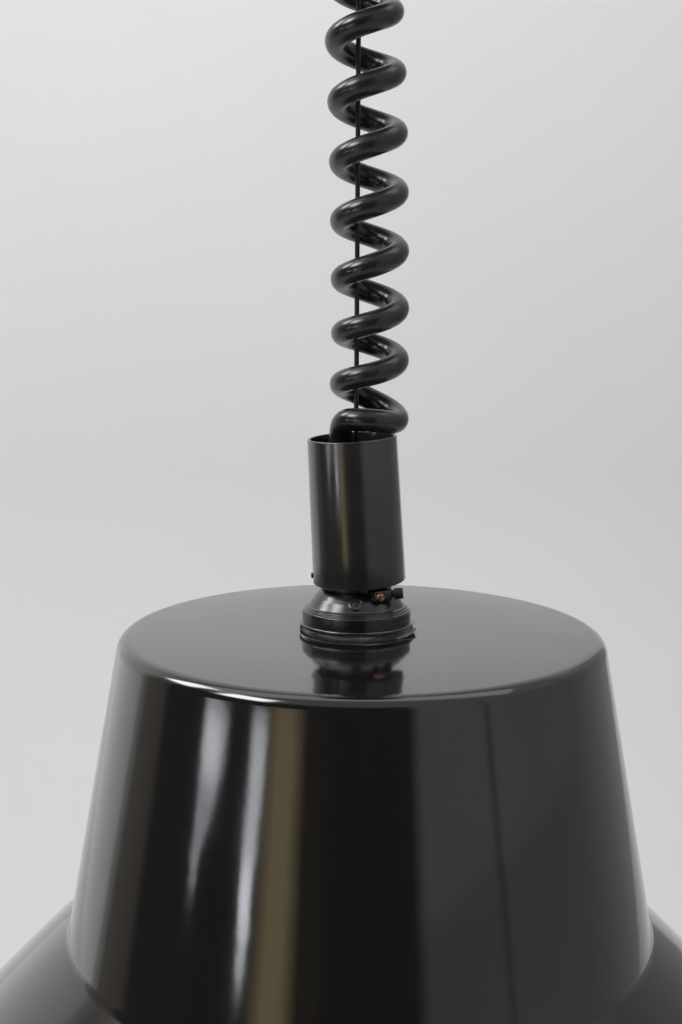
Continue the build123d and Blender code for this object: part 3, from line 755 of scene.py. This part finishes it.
@dataclass
class Shade:
    """Spun steel shade with a flat top, a steep neck, a wide skirt and a rolled rim."""

    sheet: float = 1.2
    hole_r: float = 19.0
    neck_top_r: float = 88.2
    neck_base_r: float = 108.3
    neck_base: float = -108.7
    edge_fillet: float = 5.0
    base_fillet: float = 6.0
    skirt_start_deg: float = 43.5
    rim_r: float = 225.0
    skirt_end: float = -243.0
    rim_bottom: float = -250.0
    bead_r: float = 2.0
    bead_deg: Pair = (60.0, -240.0)
    skirt_steps: int = 28
    bead_steps: int = 14

    def _skirt(self, inset: float) -> Outline:
        """Points of the skirt's long arc from the neck to the rim, set in by a thickness."""
        start = math.radians(self.skirt_start_deg)
        wide, tall = self.rim_r - self.neck_base_r, self.neck_base - self.skirt_end
        turn = math.atan2(tall, wide) - start
        arc_r = math.hypot(wide, tall) / (2 * math.sin(turn))
        centre = (self.neck_base_r - arc_r * math.sin(start), self.neck_base - arc_r * math.cos(start))
        first = math.pi / 2 - start
        return arc(centre, (arc_r - inset, arc_r - inset), first, first - 2 * turn, self.skirt_steps)

    def _side(self, inset: float) -> Outline:
        """Half section from the hole to the rim, set in by a thickness."""
        start = math.radians(self.skirt_start_deg)
        lean = math.atan2(self.neck_base_r - self.neck_top_r, -self.neck_base)
        skirt = self._skirt(inset)
        slip = inset * math.tan((math.pi / 2 - lean - start) / 2)
        waist = (skirt[0][0] - slip * math.cos(start), skirt[0][1] + slip * math.sin(start))
        shoulder_r = self.neck_top_r - inset / math.cos(lean) + inset * math.tan(lean)
        top = [
            Corner(self.hole_r, -inset),
            Corner(shoulder_r * 0.55, -inset),
            Corner(shoulder_r, -inset, self.edge_fillet - inset),
            Corner(*waist, self.base_fillet + inset),
            Corner(*skirt[2]),
        ]
        return rounded(top, 10) + skirt[3:]

    def _bead(self) -> Outline:
        """Points of the rolled rim, from outside to inside."""
        centre = (self.rim_r - self.sheet / 2, self.rim_bottom + 0.5)
        first, last = (math.radians(angle) for angle in self.bead_deg)
        return arc(centre, (self.bead_r, self.bead_r), first, last, self.bead_steps)

    def build(self) -> None:
        """Spin the shade and enamel it black outside and white inside."""
        outside = self._side(0.0) + [(self.rim_r, self.rim_bottom + 3.2)]
        bead = self._bead()
        inside = [(self.rim_r - self.sheet, self.rim_bottom + 3.2)] + self._side(self.sheet)[::-1]
        outline = outside + bead + inside
        piece = lathe("shade_enamelled", outline, standing(SHADE_X, 0, 0), BLACK_ENAMEL, 256)
        piece.data.materials.append(WHITE_ENAMEL.material())
        axis = hung(SHADE_X, 0, 0)
        for face in piece.data.polygons:
            out = Vector((face.center.x - axis.x, face.center.y - axis.y, 0.0))
            beside_top = out.length > mm(self.neck_top_r - 8)
            inward = face.normal.dot(out) < 0 if beside_top else face.normal.z < -0.5
            below_rim = face.center.z < axis.z + mm(self.rim_bottom + 3.4)
            face.material_index = 1 if inward and not below_rim else 0
        settle(piece, "lamp_head", BLACK_ENAMEL, "shade")


@dataclass
class Lampholder:
    """The lampholder's visible metalwork on top of the shade."""

    ring_r: float = 21.0
    ring_hole_r: float = 17.2
    ring_foot: float = 0.4
    ring_top: float = 3.4
    # Coarser than the real knurl, so that it still shows at arm's length.
    knurls: int = 128
    knurl_depth: float = 0.5
    # Knurled slope below the ring's lip: inset from the lip, height over the ring's foot.
    knurled_slope: tuple[Pair, ...] = (
        (0.4, 0.0), (0.05, 0.3), (0.3, 0.8), (0.6, 1.3), (0.9, 1.8), (0.95, 2.15),
    )
    band_r: float = 20.0
    band_top: float = 7.8
    bell_foot_r: float = 17.4
    bell_top_r: float = 13.0
    bell_top: float = 15.6
    hole_r: float = 11.3

    def build(self) -> None:
        """Build and dress every visible piece."""
        for part in (self._ring, self._cap, self._collar, self._rivet, self._lug, self._screws, self._gasket):
            part()

    def _ring(self) -> None:
        """Clamping ring with a smooth bright lip over a knurled slope."""
        corners = [
            Corner(self.ring_hole_r, self.ring_foot),
            *(Corner(self.ring_r - inset, self.ring_foot + height) for inset, height in self.knurled_slope),
            Corner(self.ring_r, self.ring_foot + 2.25, 0.1), Corner(self.ring_r, self.ring_top, 0.35),
            Corner(self.ring_hole_r, self.ring_top),
        ]
        cut = knurl(
            self.knurls, self.knurl_depth, self.ring_r - 0.93, self.ring_foot + 0.25, self.ring_foot + 1.85
        )
        sides = self.knurls * 8
        turned("holder_ring_knurled", corners, 4, AXIS, sides, WORN_PLATE, "lamp_head", "holder_ring", cut)

    def _cap(self) -> None:
        """Bell-shaped cap: a straight band, two fine beads and a hollow slope."""
        band, foot, top = self.band_top, self.bell_foot_r, self.bell_top
        corners = [
            Corner(self.ring_hole_r + 0.2, self.ring_top), Corner(self.band_r - 0.1, self.ring_top),
            Corner(self.band_r - 0.05, band, 0.45), Corner(self.band_r - 0.75, band + 0.25, 0.15),
            Corner(self.band_r - 0.8, band + 0.75, 0.3), Corner(self.band_r - 1.5, band + 0.95, 0.15),
            Corner(self.band_r - 1.5, band + 1.45, 0.3), Corner(foot + 0.25, band + 1.75, 0.4),
            Corner(foot - 1.7, top - 3.1, 6.0), Corner(self.bell_top_r, top - 0.15, 0.5),
            Corner(self.hole_r, top), Corner(self.hole_r, top - 1.2),
            Corner(foot - 2.2, band + 1.5, 1.0), Corner(self.ring_hole_r + 0.2, band),
        ]
        turned("holder_cap_bell", corners, 6, AXIS, 192, BLACK_PLATE, "lamp_head", "holder_cap")

    def _collar(self) -> None:
        """Collar on the bell, with the plate that the rope hangs by."""
        corners = [
            Corner(self.hole_r, self.bell_top), Corner(12.8, self.bell_top, 0.3),
            Corner(12.8, self.bell_top + 1.6, 0.3), Corner(12.1, self.bell_top + 1.9, 0.2),
            Corner(12.1, 29.2, 0.6), Corner(11.4, 30.0, 0.3), Corner(0.01, 30.0), Corner(0.01, 26.0),
            Corner(self.hole_r, 26.0),
        ]
        turned("grip_collar_turned", corners, 4, AXIS, 96, BLACK_MOULDING, "lamp_head", "grip_collar")

    def _rivet(self) -> None:
        """Round-headed rivet on the bell's front slope, in a pressed seat."""
        corners = [
            Corner(0.01, -0.9), Corner(2.65, -0.9), Corner(2.65, 0.25, 0.2), Corner(2.2, 0.45, 0.2),
            Corner(2.05, 0.2, 0.15), Corner(0.75, 0.2, 0.1), Corner(0.6, 0.6, 0.25), Corner(0.01, 0.62),
        ]
        place = pointing(hung(HOLDER_X - 0.4, -15.45, 12.45), (0, -0.72, 0.69))
        turned("cap_rivet_domed", corners, 4, place, 48, BLACK_PLATE, "lamp_head", "cap_rivet")

    def _lug(self) -> None:
        """Cast lug on the right front, rounded like a small ear."""
        shape = block((7.8, 5.6, 4.4))
        bmesh.ops.bevel(
            shape, geom=shape.edges[:], offset=mm(1.5), segments=4, profile=0.6, affect="EDGES",
            clamp_overlap=True,
        )
        turn = Matrix.Rotation(math.radians(32), 3, "Z")
        bmesh.ops.rotate(shape, cent=(0, 0, 0), matrix=turn, verts=shape.verts)
        bmesh.ops.translate(shape, vec=hung(8.9, -11.6, 15.1), verts=shape.verts)
        mesh = bpy.data.meshes.new("grip_lug_cast")
        shape.to_mesh(mesh)
        shape.free()
        mesh.shade_smooth()
        mesh.set_sharp_from_angle(angle=math.radians(50))
        mesh.materials.append(BLACK_MOULDING.material())
        settle(add_object("grip_lug_cast", mesh), "lamp_head", BLACK_MOULDING, "grip_lug")

    def _screws(self) -> None:
        """Copper screw that faces forward and black knurled screw that faces right."""
        seat = hung(8.7, -14.35, 14.8)
        copper = screw("earth_screw_slotted", seat, (0.15, -1, 0.12), (1.5, 1.3), 0.45, 1.0, COPPER)
        settle(copper, "lamp_head", COPPER, "earth_screw")
        corners = [
            Corner(0.01, -2.0), Corner(1.25, -2.0), Corner(1.25, 0.0), Corner(2.0, 0.0, 0.25),
            Corner(2.0, 1.7), Corner(2.0, 3.3, 0.35), Corner(1.2, 3.45, 0.2), Corner(1.1, 2.7),
            Corner(0.01, 2.7),
        ]
        place = pointing(hung(13.7, -10.6, 15.5), (1, -0.05, 0.08))
        cut = knurl(18, 0.14, 1.9, 0.2, 3.2)
        turned("clamp_screw_knurled", corners, 4, place, 144, BLACK_PLATE, "lamp_head", "clamp_screw", cut)

    def _gasket(self) -> None:
        """Thin gasket with a torn, lifted tab at its right front."""
        outer, inner, thick, sides = 20.0, 19.0, 0.4, 180
        tab_from, tab_to = math.radians(-48), math.radians(-4)
        tab_out, tab_up, ragged = 2.7, 1.9, 0.35
        points: list[Vector] = []
        for side in range(sides):
            angle = 2 * math.pi * side / sides - math.pi
            share = (angle - tab_from) / (tab_to - tab_from)
            bulge = math.sin(math.pi * share) ** 0.5 if 0 < share < 1 else 0.0
            reach = outer + (tab_out + ragged * math.sin(share * 29)) * bulge
            lift = tab_up * bulge * share
            for radius, height in ((inner, 0.0), (reach, lift), (reach, thick + lift), (inner, thick)):
                points.append(hung(HOLDER_X + radius * math.cos(angle), radius * math.sin(angle), height))
        piece = mesh_piece("ring_gasket_torn", points, ring_faces(sides, 4), GASKET)
        settle(piece, "lamp_head", GASKET, "ring_gasket")


@dataclass
class CoverTube:
    """Thin tapered tube that leans on the lug."""

    bottom_at: Point = (1.5, 0.3, 18.4)
    top_at: Point = (-1.5, -2.2, 71.1)
    bottom_r: float = 16.95
    top_r: float = 16.1
    wall: float = 1.0
    screw_up: float = 2.6

    def _place(self) -> Matrix:
        """Place the tube's own axis in the frame."""
        bottom, top = hung(*self.bottom_at), hung(*self.top_at)
        ahead = (top - bottom).normalized()
        right = (Vector((1, 0, 0.05)) - ahead * ahead.dot(Vector((1, 0, 0.05)))).normalized()
        back = ahead.cross(right)
        turn = Matrix((right, back, ahead)).transposed().to_4x4()
        return Matrix.Translation(bottom) @ turn

    def build(self) -> None:
        """Build the tube with rounded edges and its grub screw."""
        long = (Vector(self.top_at) - Vector(self.bottom_at)).length
        foot_r, mouth_r = self.bottom_r - self.wall, self.top_r - self.wall
        corners = [
            Corner(foot_r, 4.0), Corner(foot_r, 0.0, 0.3), Corner(self.bottom_r, 0.0, 0.35),
            Corner(self.top_r, long, 0.35), Corner(mouth_r, long, 0.35), Corner(mouth_r, long - 4.0),
        ]
        place = self._place()
        turned("cover_tube_lacquered", corners, 5, place, 192, BLACK_LACQUER, "cord_cover", "cover_tube")
        seat = place @ Vector((mm(-self.bottom_r), 0, mm(self.screw_up)))
        side = place.to_3x3() @ Vector((-1, 0, 0))
        grub = screw("cover_screw_grub", seat, side, (1.05, 0.68), 0.3, 1.4, BLACK_PLATE)
        settle(grub, "cord_cover", BLACK_PLATE, "cover_screw")


@dataclass
class CurlyCord:
    """Three-core cord wound round the rope, with a plain end at each side of its coil."""

    cord_r: float = 4.1
    coil_r: float = 9.9
    last_turn_r: float = 10.3
    turn_tilt: float = 0.11
    # Centre line of the winding: x, y, local height.
    centre_line: list[Point] = field(default_factory=lambda: [
        (-2.2, 0.0, 270.0), (1.3, 0.0, 254.0), (1.3, 0.0, 226.0), (2.5, 0.0, 205.0), (3.5, 0.0, 180.0),
        (4.2, 0.0, 152.0), (4.6, 0.0, 124.0), (4.85, 0.0, 99.0), (4.5, 0.0, 86.0), (4.5, 0.0, 58.0),
        (3.2, 0.0, 38.0), (3.2, 0.0, 12.0),
    ])
    first_turn_height: float = 237.9
    open_pitch: float = 20.17
    open_turns: int = 6
    # Last turns, which settle closer and flatter on the tube: turns from the top, local height.
    last_turns: list[Pair] = field(default_factory=lambda: [
        (6.5, 108.0), (7.0, 98.6), (7.5, 90.9), (8.0, 75.8), (8.25, 79.3), (8.46, 77.8),
        (8.5, 62.0), (8.5, 36.0), (8.5, 12.0),
    ])

    def _winding(self) -> list[Pair]:
        """Read how the cord turns as it goes down, as pairs of turns from the top and local height."""
        halves = [half / 2 for half in range(2 * self.open_turns + 1)]
        knots = [(0.0, MOUTH_HEIGHT), (0.0, 254.0)]
        knots += [(turns, self.first_turn_height - self.open_pitch * turns) for turns in halves]
        round_the_coil = 2 * math.pi * self.coil_r
        flat = [(turns * round_the_coil, 0.0, height) for turns, height in knots + self.last_turns]
        return [(point.x / round_the_coil, point.z) for point in read_route("winding", flat)]

    def path(self) -> list[Vector]:
        """Wind the cord's centre line round the coil's.

        Returns:
            Evenly spaced points in metres, from the ceiling end down.
        """
        centres = read_route("cord_centre_line", self.centre_line)
        points: list[Vector] = []
        place = 0
        for turns, height in even_pairs(self._winding()):
            while place < len(centres) - 2 and centres[place + 1].z > height:
                place += 1
            upper, lower = centres[place], centres[place + 1]
            share = min(1.0, max(0.0, (upper.z - height) / (upper.z - lower.z)))
            centre_x = upper.x + (lower.x - upper.x) * share
            radius = self.coil_r
            if turns > self.open_turns + 1:
                radius += (self.last_turn_r - self.coil_r) * min(1.0, (turns - self.open_turns - 1) / 0.6)
            angle = -2 * math.pi * turns
            across = radius * math.sin(angle)
            points.append(hung(centre_x + radius * math.cos(angle), across, height + self.turn_tilt * across))
        return even_spacing(points, mm(1.1))

    def build(self) -> None:
        """Skin the cord and hang it between the ceiling and the lamp."""
        path = self.path()
        radius = mm(self.cord_r)

        def skin(along: float, angle: float) -> float:
            """Slightly uneven round sheath."""
            return radius * (1.0 + 0.004 * math.sin(along * 310.0) - 0.004)

        piece = tube("curly_cord_wound", path, PVC_SHEATH, 28, skin)
        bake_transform(piece)
        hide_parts("curly_cord", "cord_tail_upper", "cord_tail_lower")
        LOG.info("cord of %.0f mm", 1000 * path_length(path))


def even_pairs(pairs: Sequence[Pair]) -> list[Pair]:
    """Put more pairs between each two, in a straight line."""
    finer = [
        tuple(start + (end - start) * step / PAIR_STEPS for start, end in zip(first, second))
        for first, second in zip(pairs, pairs[1:])
        for step in range(PAIR_STEPS)
    ]
    return [*finer, pairs[-1]]


@dataclass
class WireRope:
    """Nylon-coated rope whose strands show as a slow twist."""

    rope_r: float = 0.9
    strands: int = 6
    lay_mm: float = 9.0
    foot: float = 20.0

    def build(self) -> None:
        """Skin the rope and hang it between the ceiling and the lamp."""
        route = [(0.0, 0.0, MOUTH_HEIGHT), (0.0, 0.0, 200.0), (0.0, 0.0, 100.0), (0.0, 0.0, self.foot)]
        line = [hung(*point) for point in read_route("rope_line", route)]
        path = even_spacing(line, mm(0.75))

        def skin(along: float, angle: float) -> float:
            """Lobed section that turns once in each lay length."""
            turn = self.strands * (angle - 2 * math.pi * along / mm(self.lay_mm))
            return mm(self.rope_r) * (0.94 + 0.06 * math.cos(turn))

        piece = tube("wire_rope_coated", path, COATED_ROPE, 24, skin)
        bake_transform(piece)
        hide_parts("wire_rope")
        LOG.info("rope of %.0f mm", 1000 * path_length(path))


@dataclass
class CeilingUnit:
    """Ceiling cover, outlet bush and the visible screws; the reel inside keeps its CAD shapes."""

    cover_r: float = 60.0
    wall: float = 1.0
    top: float = -0.5
    shoulder: float = -45.0
    bottom: float = -92.0
    flat_r: float = 18.0
    hole_r: float = 13.7
    mouth: float = -107.0
    bowl_steps: int = 20

    def _cup(self, inset: float) -> Outline:
        """Half section of the cover from the hole's edge to the rim, set in by a thickness."""
        side = self.cover_r - inset
        reach = (side - self.flat_r, self.shoulder - self.bottom - inset)
        bowl = arc((self.flat_r, self.shoulder), reach, -math.pi / 2, 0.0, self.bowl_steps)
        return [(self.hole_r, self.bottom + inset), *bowl, (side, -20.0), (side, self.top - 0.35)]

    def build(self) -> None:
        """Build the cover, its screws and the bush."""
        inside = self._cup(self.wall)[::-1]
        lip = [(self.cover_r - 0.35, self.top), (self.cover_r - self.wall + 0.35, self.top)]
        level = Matrix.Identity(4)
        cover = lathe("ceiling_cover_coated", self._cup(0.0) + lip + inside, level, POWDER_COAT, 192)
        settle(cover, "ceiling_unit", POWDER_COAT, "canopy")
        for name, side in (("cover_screw_left", -1), ("cover_screw_right", 1)):
            seat = Vector((side * mm(self.cover_r + 0.1), 0, mm(-9.0)))
            piece = screw(name, seat, (side, 0, 0), (4.0, 2.3), 0.9, 5.0, BLACK_PLATE)
            settle(piece, "ceiling_unit", BLACK_PLATE, "canopy_screws")
        corners = [
            Corner(12.0, -82.0, 0.4), Corner(13.5, -82.0, 0.4), Corner(13.5, self.bottom),
            Corner(19.0, self.bottom, 0.5), Corner(19.0, -94.5, 0.8), Corner(15.6, -98.0, 4.0),
            Corner(14.0, self.mouth, 0.9), Corner(12.0, self.mouth, 0.6), Corner(12.0, -98.0),
        ]
        turned("outlet_bush_moulded", corners, 6, level, 128, BLACK_MOULDING, "ceiling_unit", "outlet_bush")


@dataclass
class Bulb:
    """Opal bulb with a threaded cap."""

    ball_r: float = 30.0
    ball_at: float = -85.0
    neck_r: float = 12.4
    cap_r: float = 13.2
    cap_top: float = -12.0
    cap_bottom: float = -34.0
    pitch: float = 3.6
    thread: float = 0.45
    rows: int = 44

    def build(self) -> None:
        """Blow the glass and roll the cap's thread."""
        reach = self.cap_bottom - 6 - self.ball_at
        touch = math.atan2(reach, self.neck_r) - math.acos(self.ball_r / math.hypot(reach, self.neck_r))
        ball = arc((0.0, self.ball_at), (self.ball_r, self.ball_r), -math.pi / 2, touch, 40)
        neck = [(self.neck_r, self.cap_bottom - 6), (self.neck_r, self.cap_bottom), (0.01, self.cap_bottom)]
        bottom = (0.01, self.ball_at - self.ball_r)
        glass = lathe("bulb_glass_opal", [bottom, *ball[1:], *neck], AXIS, OPAL_GLASS, 128)
        settle(glass, "bulb", OPAL_GLASS, "bulb_glass")
        rise = self.cap_top - 1.0 - self.cap_bottom
        rows = [(self.cap_r, self.cap_bottom + rise * row / self.rows) for row in range(self.rows + 1)]
        lid = [(self.cap_r - 1.6, self.cap_top), (6.0, self.cap_top), (6.0, self.cap_top - 0.4)]
        outline = [(self.cap_r - 2.0, self.cap_bottom), *rows, *lid]

        def ripple(radius: float, height: float, angle: float) -> float:
            """Roll one thread round the cap, plain at its lower skirt."""
            if radius < self.cap_r - 0.1 or height < self.cap_bottom + 5:
                return radius
            turn = 2 * math.pi * (height / self.pitch) - angle
            return radius - self.thread * (0.5 - 0.5 * math.cos(turn))

        cap = lathe("bulb_cap_threaded", outline, AXIS, NICKEL, 96, ripple)
        settle(cap, "bulb", NICKEL, "bulb_cap")


@dataclass
class CarriedOver:
    """CAD nodes whose shape is right: each gets its finish."""

    wearers: dict[Finish, tuple[str, ...]] = field(default_factory=lambda: {
        ZINC_PLATE: ("ceiling_bracket", "reel_frame", "frame_screws", "reel_axle"),
        SPRING_STEEL: ("axle_clips", "mainspring"),
        ACETAL: ("rope_drum", "drum_cover"),
        COATED_ROPE: ("rope_winding", "rope_lead"),
        FELT: ("brake_pad",),
        BRASS: ("brake_screw", "terminal_screws", "screw_shell", "insert_screws"),
        PALE_NYLON: ("terminal_block",),
        NICKEL: ("earth_tag", "rope_ferrule", "bulb_contact"),
        BLACK_MOULDING: ("bush_nut",),
        PVC_SHEATH: ("cord_lead_in",),
        CORE_SLEEVE: ("upper_cores", "lower_cores"),
        BLACK_PLATE: ("holder_body", "shade_ring"),
        PORCELAIN: ("ceramic_insert",),
        COPPER: ("centre_contact", "side_contact"),
        BLACK_GLASS: ("bulb_insulator",),
    })

    def dress(self) -> None:
        """Give each node's object its finish."""
        for finish, nodes in self.wearers.items():
            for node in nodes:
                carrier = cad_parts[node]
                carrier.data.materials.clear()
                carrier.data.materials.append(finish.material())
            LOG.info("%s is worn by %s", finish.label, ", ".join(nodes))


# Studio and camera.


@dataclass(frozen=True)
class Card:
    """One curved studio card round the lamp, lit or dark, that only its reflections show.

    Each row is an elevation and the azimuths of the card's left and right edges, in degrees,
    as the lamp's neck sees them. Azimuth 0 is the front and 90 the right. The card thins out
    towards its sides and ends, by a share of its width and height.
    """

    name: str
    rows: tuple[tuple[float, float, float], ...]
    colour: str
    glow: float = 0.0
    reach: float = 2.6
    soft_sides: float = 0.2
    soft_ends: float = 0.1
    density: float = 1.0

    def _grid(self) -> tuple[list[Vector], list[float]]:
        """Lay out the card's points and how dense it is at each.

        Returns:
            Points in metres, and a share from 0 to 1 for each.
        """
        points: list[Vector] = []
        cover: list[float] = []
        middle = mm(SHADE_TOP - NECK_MIDDLE)
        low, high = self.rows[0][0], self.rows[-1][0]
        for row in range(CARD_STEPS + 1):
            elevation = low + (high - low) * row / CARD_STEPS
            upper = next(n for n in range(1, len(self.rows)) if self.rows[n][0] >= elevation - 1e-9)
            (e0, l0, r0), (e1, l1, r1) = self.rows[upper - 1], self.rows[upper]
            share = (elevation - e0) / (e1 - e0)
            left, right = l0 + (l1 - l0) * share, r0 + (r1 - r0) * share
            height = middle + self.reach * math.tan(math.radians(elevation))
            for step in range(CARD_STEPS + 1):
                azimuth = math.radians(left + (right - left) * step / CARD_STEPS)
                out = (math.sin(azimuth) * self.reach, -math.cos(azimuth) * self.reach)
                points.append(Vector((*out, height)))
                side = min(step, CARD_STEPS - step) / CARD_STEPS / max(self.soft_sides, 1e-6)
                end = min(row, CARD_STEPS - row) / CARD_STEPS / max(self.soft_ends, 1e-6)
                cover.append(self.density * min(1.0, side) * min(1.0, end))
        return points, cover

    def _material(self) -> bpy.types.Material:
        """Mix the card's own surface with clear air by its density."""
        made, tree = new_material("Card_" + self.name)
        cover = add_node(tree, "ShaderNodeAttribute", {"attribute_name": "cover"}).outputs["Fac"]
        clear = add_node(tree, "ShaderNodeBsdfTransparent").outputs["BSDF"]
        if self.glow:
            settings = {"Color": linear(self.colour), "Strength": self.glow}
            own = add_node(tree, "ShaderNodeEmission", settings).outputs["Emission"]
        else:
            own = add_node(tree, "ShaderNodeBsdfDiffuse", {"Color": linear(self.colour)}).outputs["BSDF"]
        mixed = add_node(tree, "ShaderNodeMixShader", links={0: cover, 1: clear, 2: own}).outputs["Shader"]
        add_node(tree, "ShaderNodeOutputMaterial", links={"Surface": mixed})
        return made

    def build(self) -> None:
        """Bend the card round the lamp and set it up, out of the camera's sight."""
        points, cover = self._grid()
        across = CARD_STEPS + 1
        faces = [
            (here, here + 1, here + across + 1, here + across)
            for row in range(CARD_STEPS)
            for here in range(row * across, row * across + CARD_STEPS)
        ]
        mesh = bpy.data.meshes.new("card_" + self.name)
        mesh.from_pydata([tuple(point) for point in points], [], faces)
        mesh.attributes.new("cover", "FLOAT", "POINT").data.foreach_set("value", cover)
        mesh.materials.append(self._material())
        card = add_object(mesh.name, mesh)
        card.visible_camera = False


@dataclass
class Studio:
    """Pale floor that curves up to a pale wall, with tall soft windows and dark cards in front."""

    floor: float = -1.45
    wall: float = 2.3
    half_wide: float = 14.0
    tall: float = 5.6
    bend: float = 0.9
    bend_steps: int = 24
    wash_watts: float = 19.5
    sky_level: float = 0.84
    cards: list[Card] = field(default_factory=lambda: [
        Card("dark_front", ((-38.0, -92.0, 24.0), (40.0, -98.0, 24.0)), "4c4b4b", 0.0, 2.75, 0.03),
        Card("brown_left", ((-38.0, -111.0, -80.0), (40.0, -108.0, -94.0)), "a8a193", 0.0, 2.8, 0.06),
        Card("left_wall", ((-34.0, -168.0, -113.0), (34.0, -168.0, -110.0)), "fbfbfb", 0.85, 2.6, 0.05),
        Card(
            "far_window",
            ((-6.8, -68.3, -65.0), (-4.0, -69.2, -64.0), (1.5, -70.2, -56.5), (5.0, -71.0, -56.0)),
            "f6f9ff", 2.4, 2.6, 0.2, 0.1,
        ),
        Card("far_window_top", ((-1.0, -70.0, -60.0), (5.0, -71.0, -57.0)), "f6f9ff", 6.0, 2.55, 0.3, 0.35),
        Card(
            "near_window",
            ((-9.6, -45.2, -42.0), (-6.0, -46.5, -41.0), (2.0, -47.5, -39.0), (7.0, -48.0, -38.0)),
            "f6f9ff", 5.0, 2.6, 0.3, 0.12,
        ),
        Card("near_window_pane", ((-6.5, -46.3, -41.5), (-1.5, -46.8, -41.0)), "f6f9ff", 8.0, 2.55, 0.3, 0.3),
        Card("skylight", ((30.0, -76.0, -43.0), (52.0, -80.0, -43.0)), "fbfcff", 14.0, 2.6, 0.2, 0.2),
        Card("high_window", ((30.0, -114.0, -89.0), (52.0, -116.0, -90.0)), "fbfcff", 11.0, 2.6, 0.2, 0.2),
        Card("warm_blind", ((-34.0, -40.0, -22.0), (12.0, -41.0, -23.0)), "d6c296", 1.8, 2.5, 0.35),
        Card("warm_fade", ((-34.0, -27.0, -8.0), (12.0, -28.0, -9.0)), "7d735f", 0.45, 2.52, 0.5),
        Card("door_edge", ((-34.0, 51.0, 55.5), (34.0, 51.5, 56.0)), "3a3a3a", 0.0, 2.6, 0.5, density=0.6),
        Card("grey_right", ((-34.0, 58.0, 175.0), (34.0, 58.0, 175.0)), "9a9a9a", reach=2.65, soft_sides=0.3,
             density=0.6),
    ])

    def build(self) -> None:
        """Build the sweep, the cards, the wash on the wall and the even sky."""
        self._sweep()
        for card in self.cards:
            card.build()
        self._wash()
        self._sky()

    def _sweep(self) -> None:
        """Floor and wall in one curved sheet."""
        centre = (self.wall - self.bend, self.floor + self.bend)
        curve = arc(centre, (self.bend, self.bend), -math.pi / 2, 0.0, self.bend_steps)
        line = [(-self.half_wide, self.floor), *curve, (self.wall, self.floor + self.tall)]
        points = [Vector((x, y, z)) for y, z in line for x in (-self.half_wide, self.half_wide)]
        faces = [(here, here + 1, here + 3, here + 2) for here in range(0, len(points) - 2, 2)]
        paint = Finish(
            "Paint_matt_pale", "black_enamel", "dcdcdc", "d5d5d5", patch_mm=900.0, roughness=0.85,
            grain_mm=30.0, relief_mm=0.05,
        )
        mesh_piece("studio_sweep", points, faces, paint)

    def _wash(self) -> None:
        """Soft light that evens out the wall."""
        data = bpy.data.lights.new("wall_wash", "AREA")
        data.shape = "RECTANGLE"
        data.size, data.size_y = 3.6, 1.6
        data.energy = self.wash_watts
        lamp = add_object("wall_wash", data)
        lamp.location = (0.0, 0.3, 1.7)
        lamp.rotation_mode = "QUATERNION"
        lamp.rotation_quaternion = (Vector((0.0, self.wall, -0.7)) - lamp.location).to_track_quat("-Z", "Y")
        lamp.visible_camera = False

    def _sky(self) -> None:
        """Even soft light from all round."""
        world = bpy.data.worlds.new("studio_sky")
        bpy.context.scene.world = world
        world.use_nodes = True
        shade = world.node_tree.nodes["Background"]
        shade.inputs["Color"].default_value = linear("cdcdcd")
        shade.inputs["Strength"].default_value = self.sky_level


@dataclass
class ViewCamera:
    """Camera in front of the lamp, a little above the shade's top, looking slightly down."""

    at: Point = (-5.35, -433.0, 103.4)
    down_deg: float = 7.87
    roll_deg: float = 0.24
    focal_mm: float = 42.19
    sensor_mm: float = 36.0

    def build(self) -> None:
        """Make the scene's camera."""
        data = bpy.data.cameras.new("view_camera")
        data.lens = self.focal_mm
        data.sensor_width = self.sensor_mm
        data.clip_start = 0.01
        data.clip_end = 60.0
        camera = add_object("view_camera", data)
        tilt = Matrix.Rotation(math.radians(90.0 - self.down_deg), 4, "X")
        roll = Matrix.Rotation(math.radians(self.roll_deg), 4, "Z")
        camera.matrix_world = Matrix.Translation(hung(*self.at)) @ tilt @ roll
        bpy.context.scene.camera = camera
        bpy.context.scene.view_settings.view_transform = "Standard"


def main() -> None:
    """Build the camera, the cords, the lamp and the studio."""
    logging.basicConfig(level=logging.INFO, format="%(name)s: %(message)s")
    ViewCamera().build()
    CurlyCord().build()
    WireRope().build()
    Shade().build()
    Lampholder().build()
    CoverTube().build()
    CeilingUnit().build()
    Bulb().build()
    CarriedOver().dress()
    Studio().build()


if __name__ == "__main__":
    main()
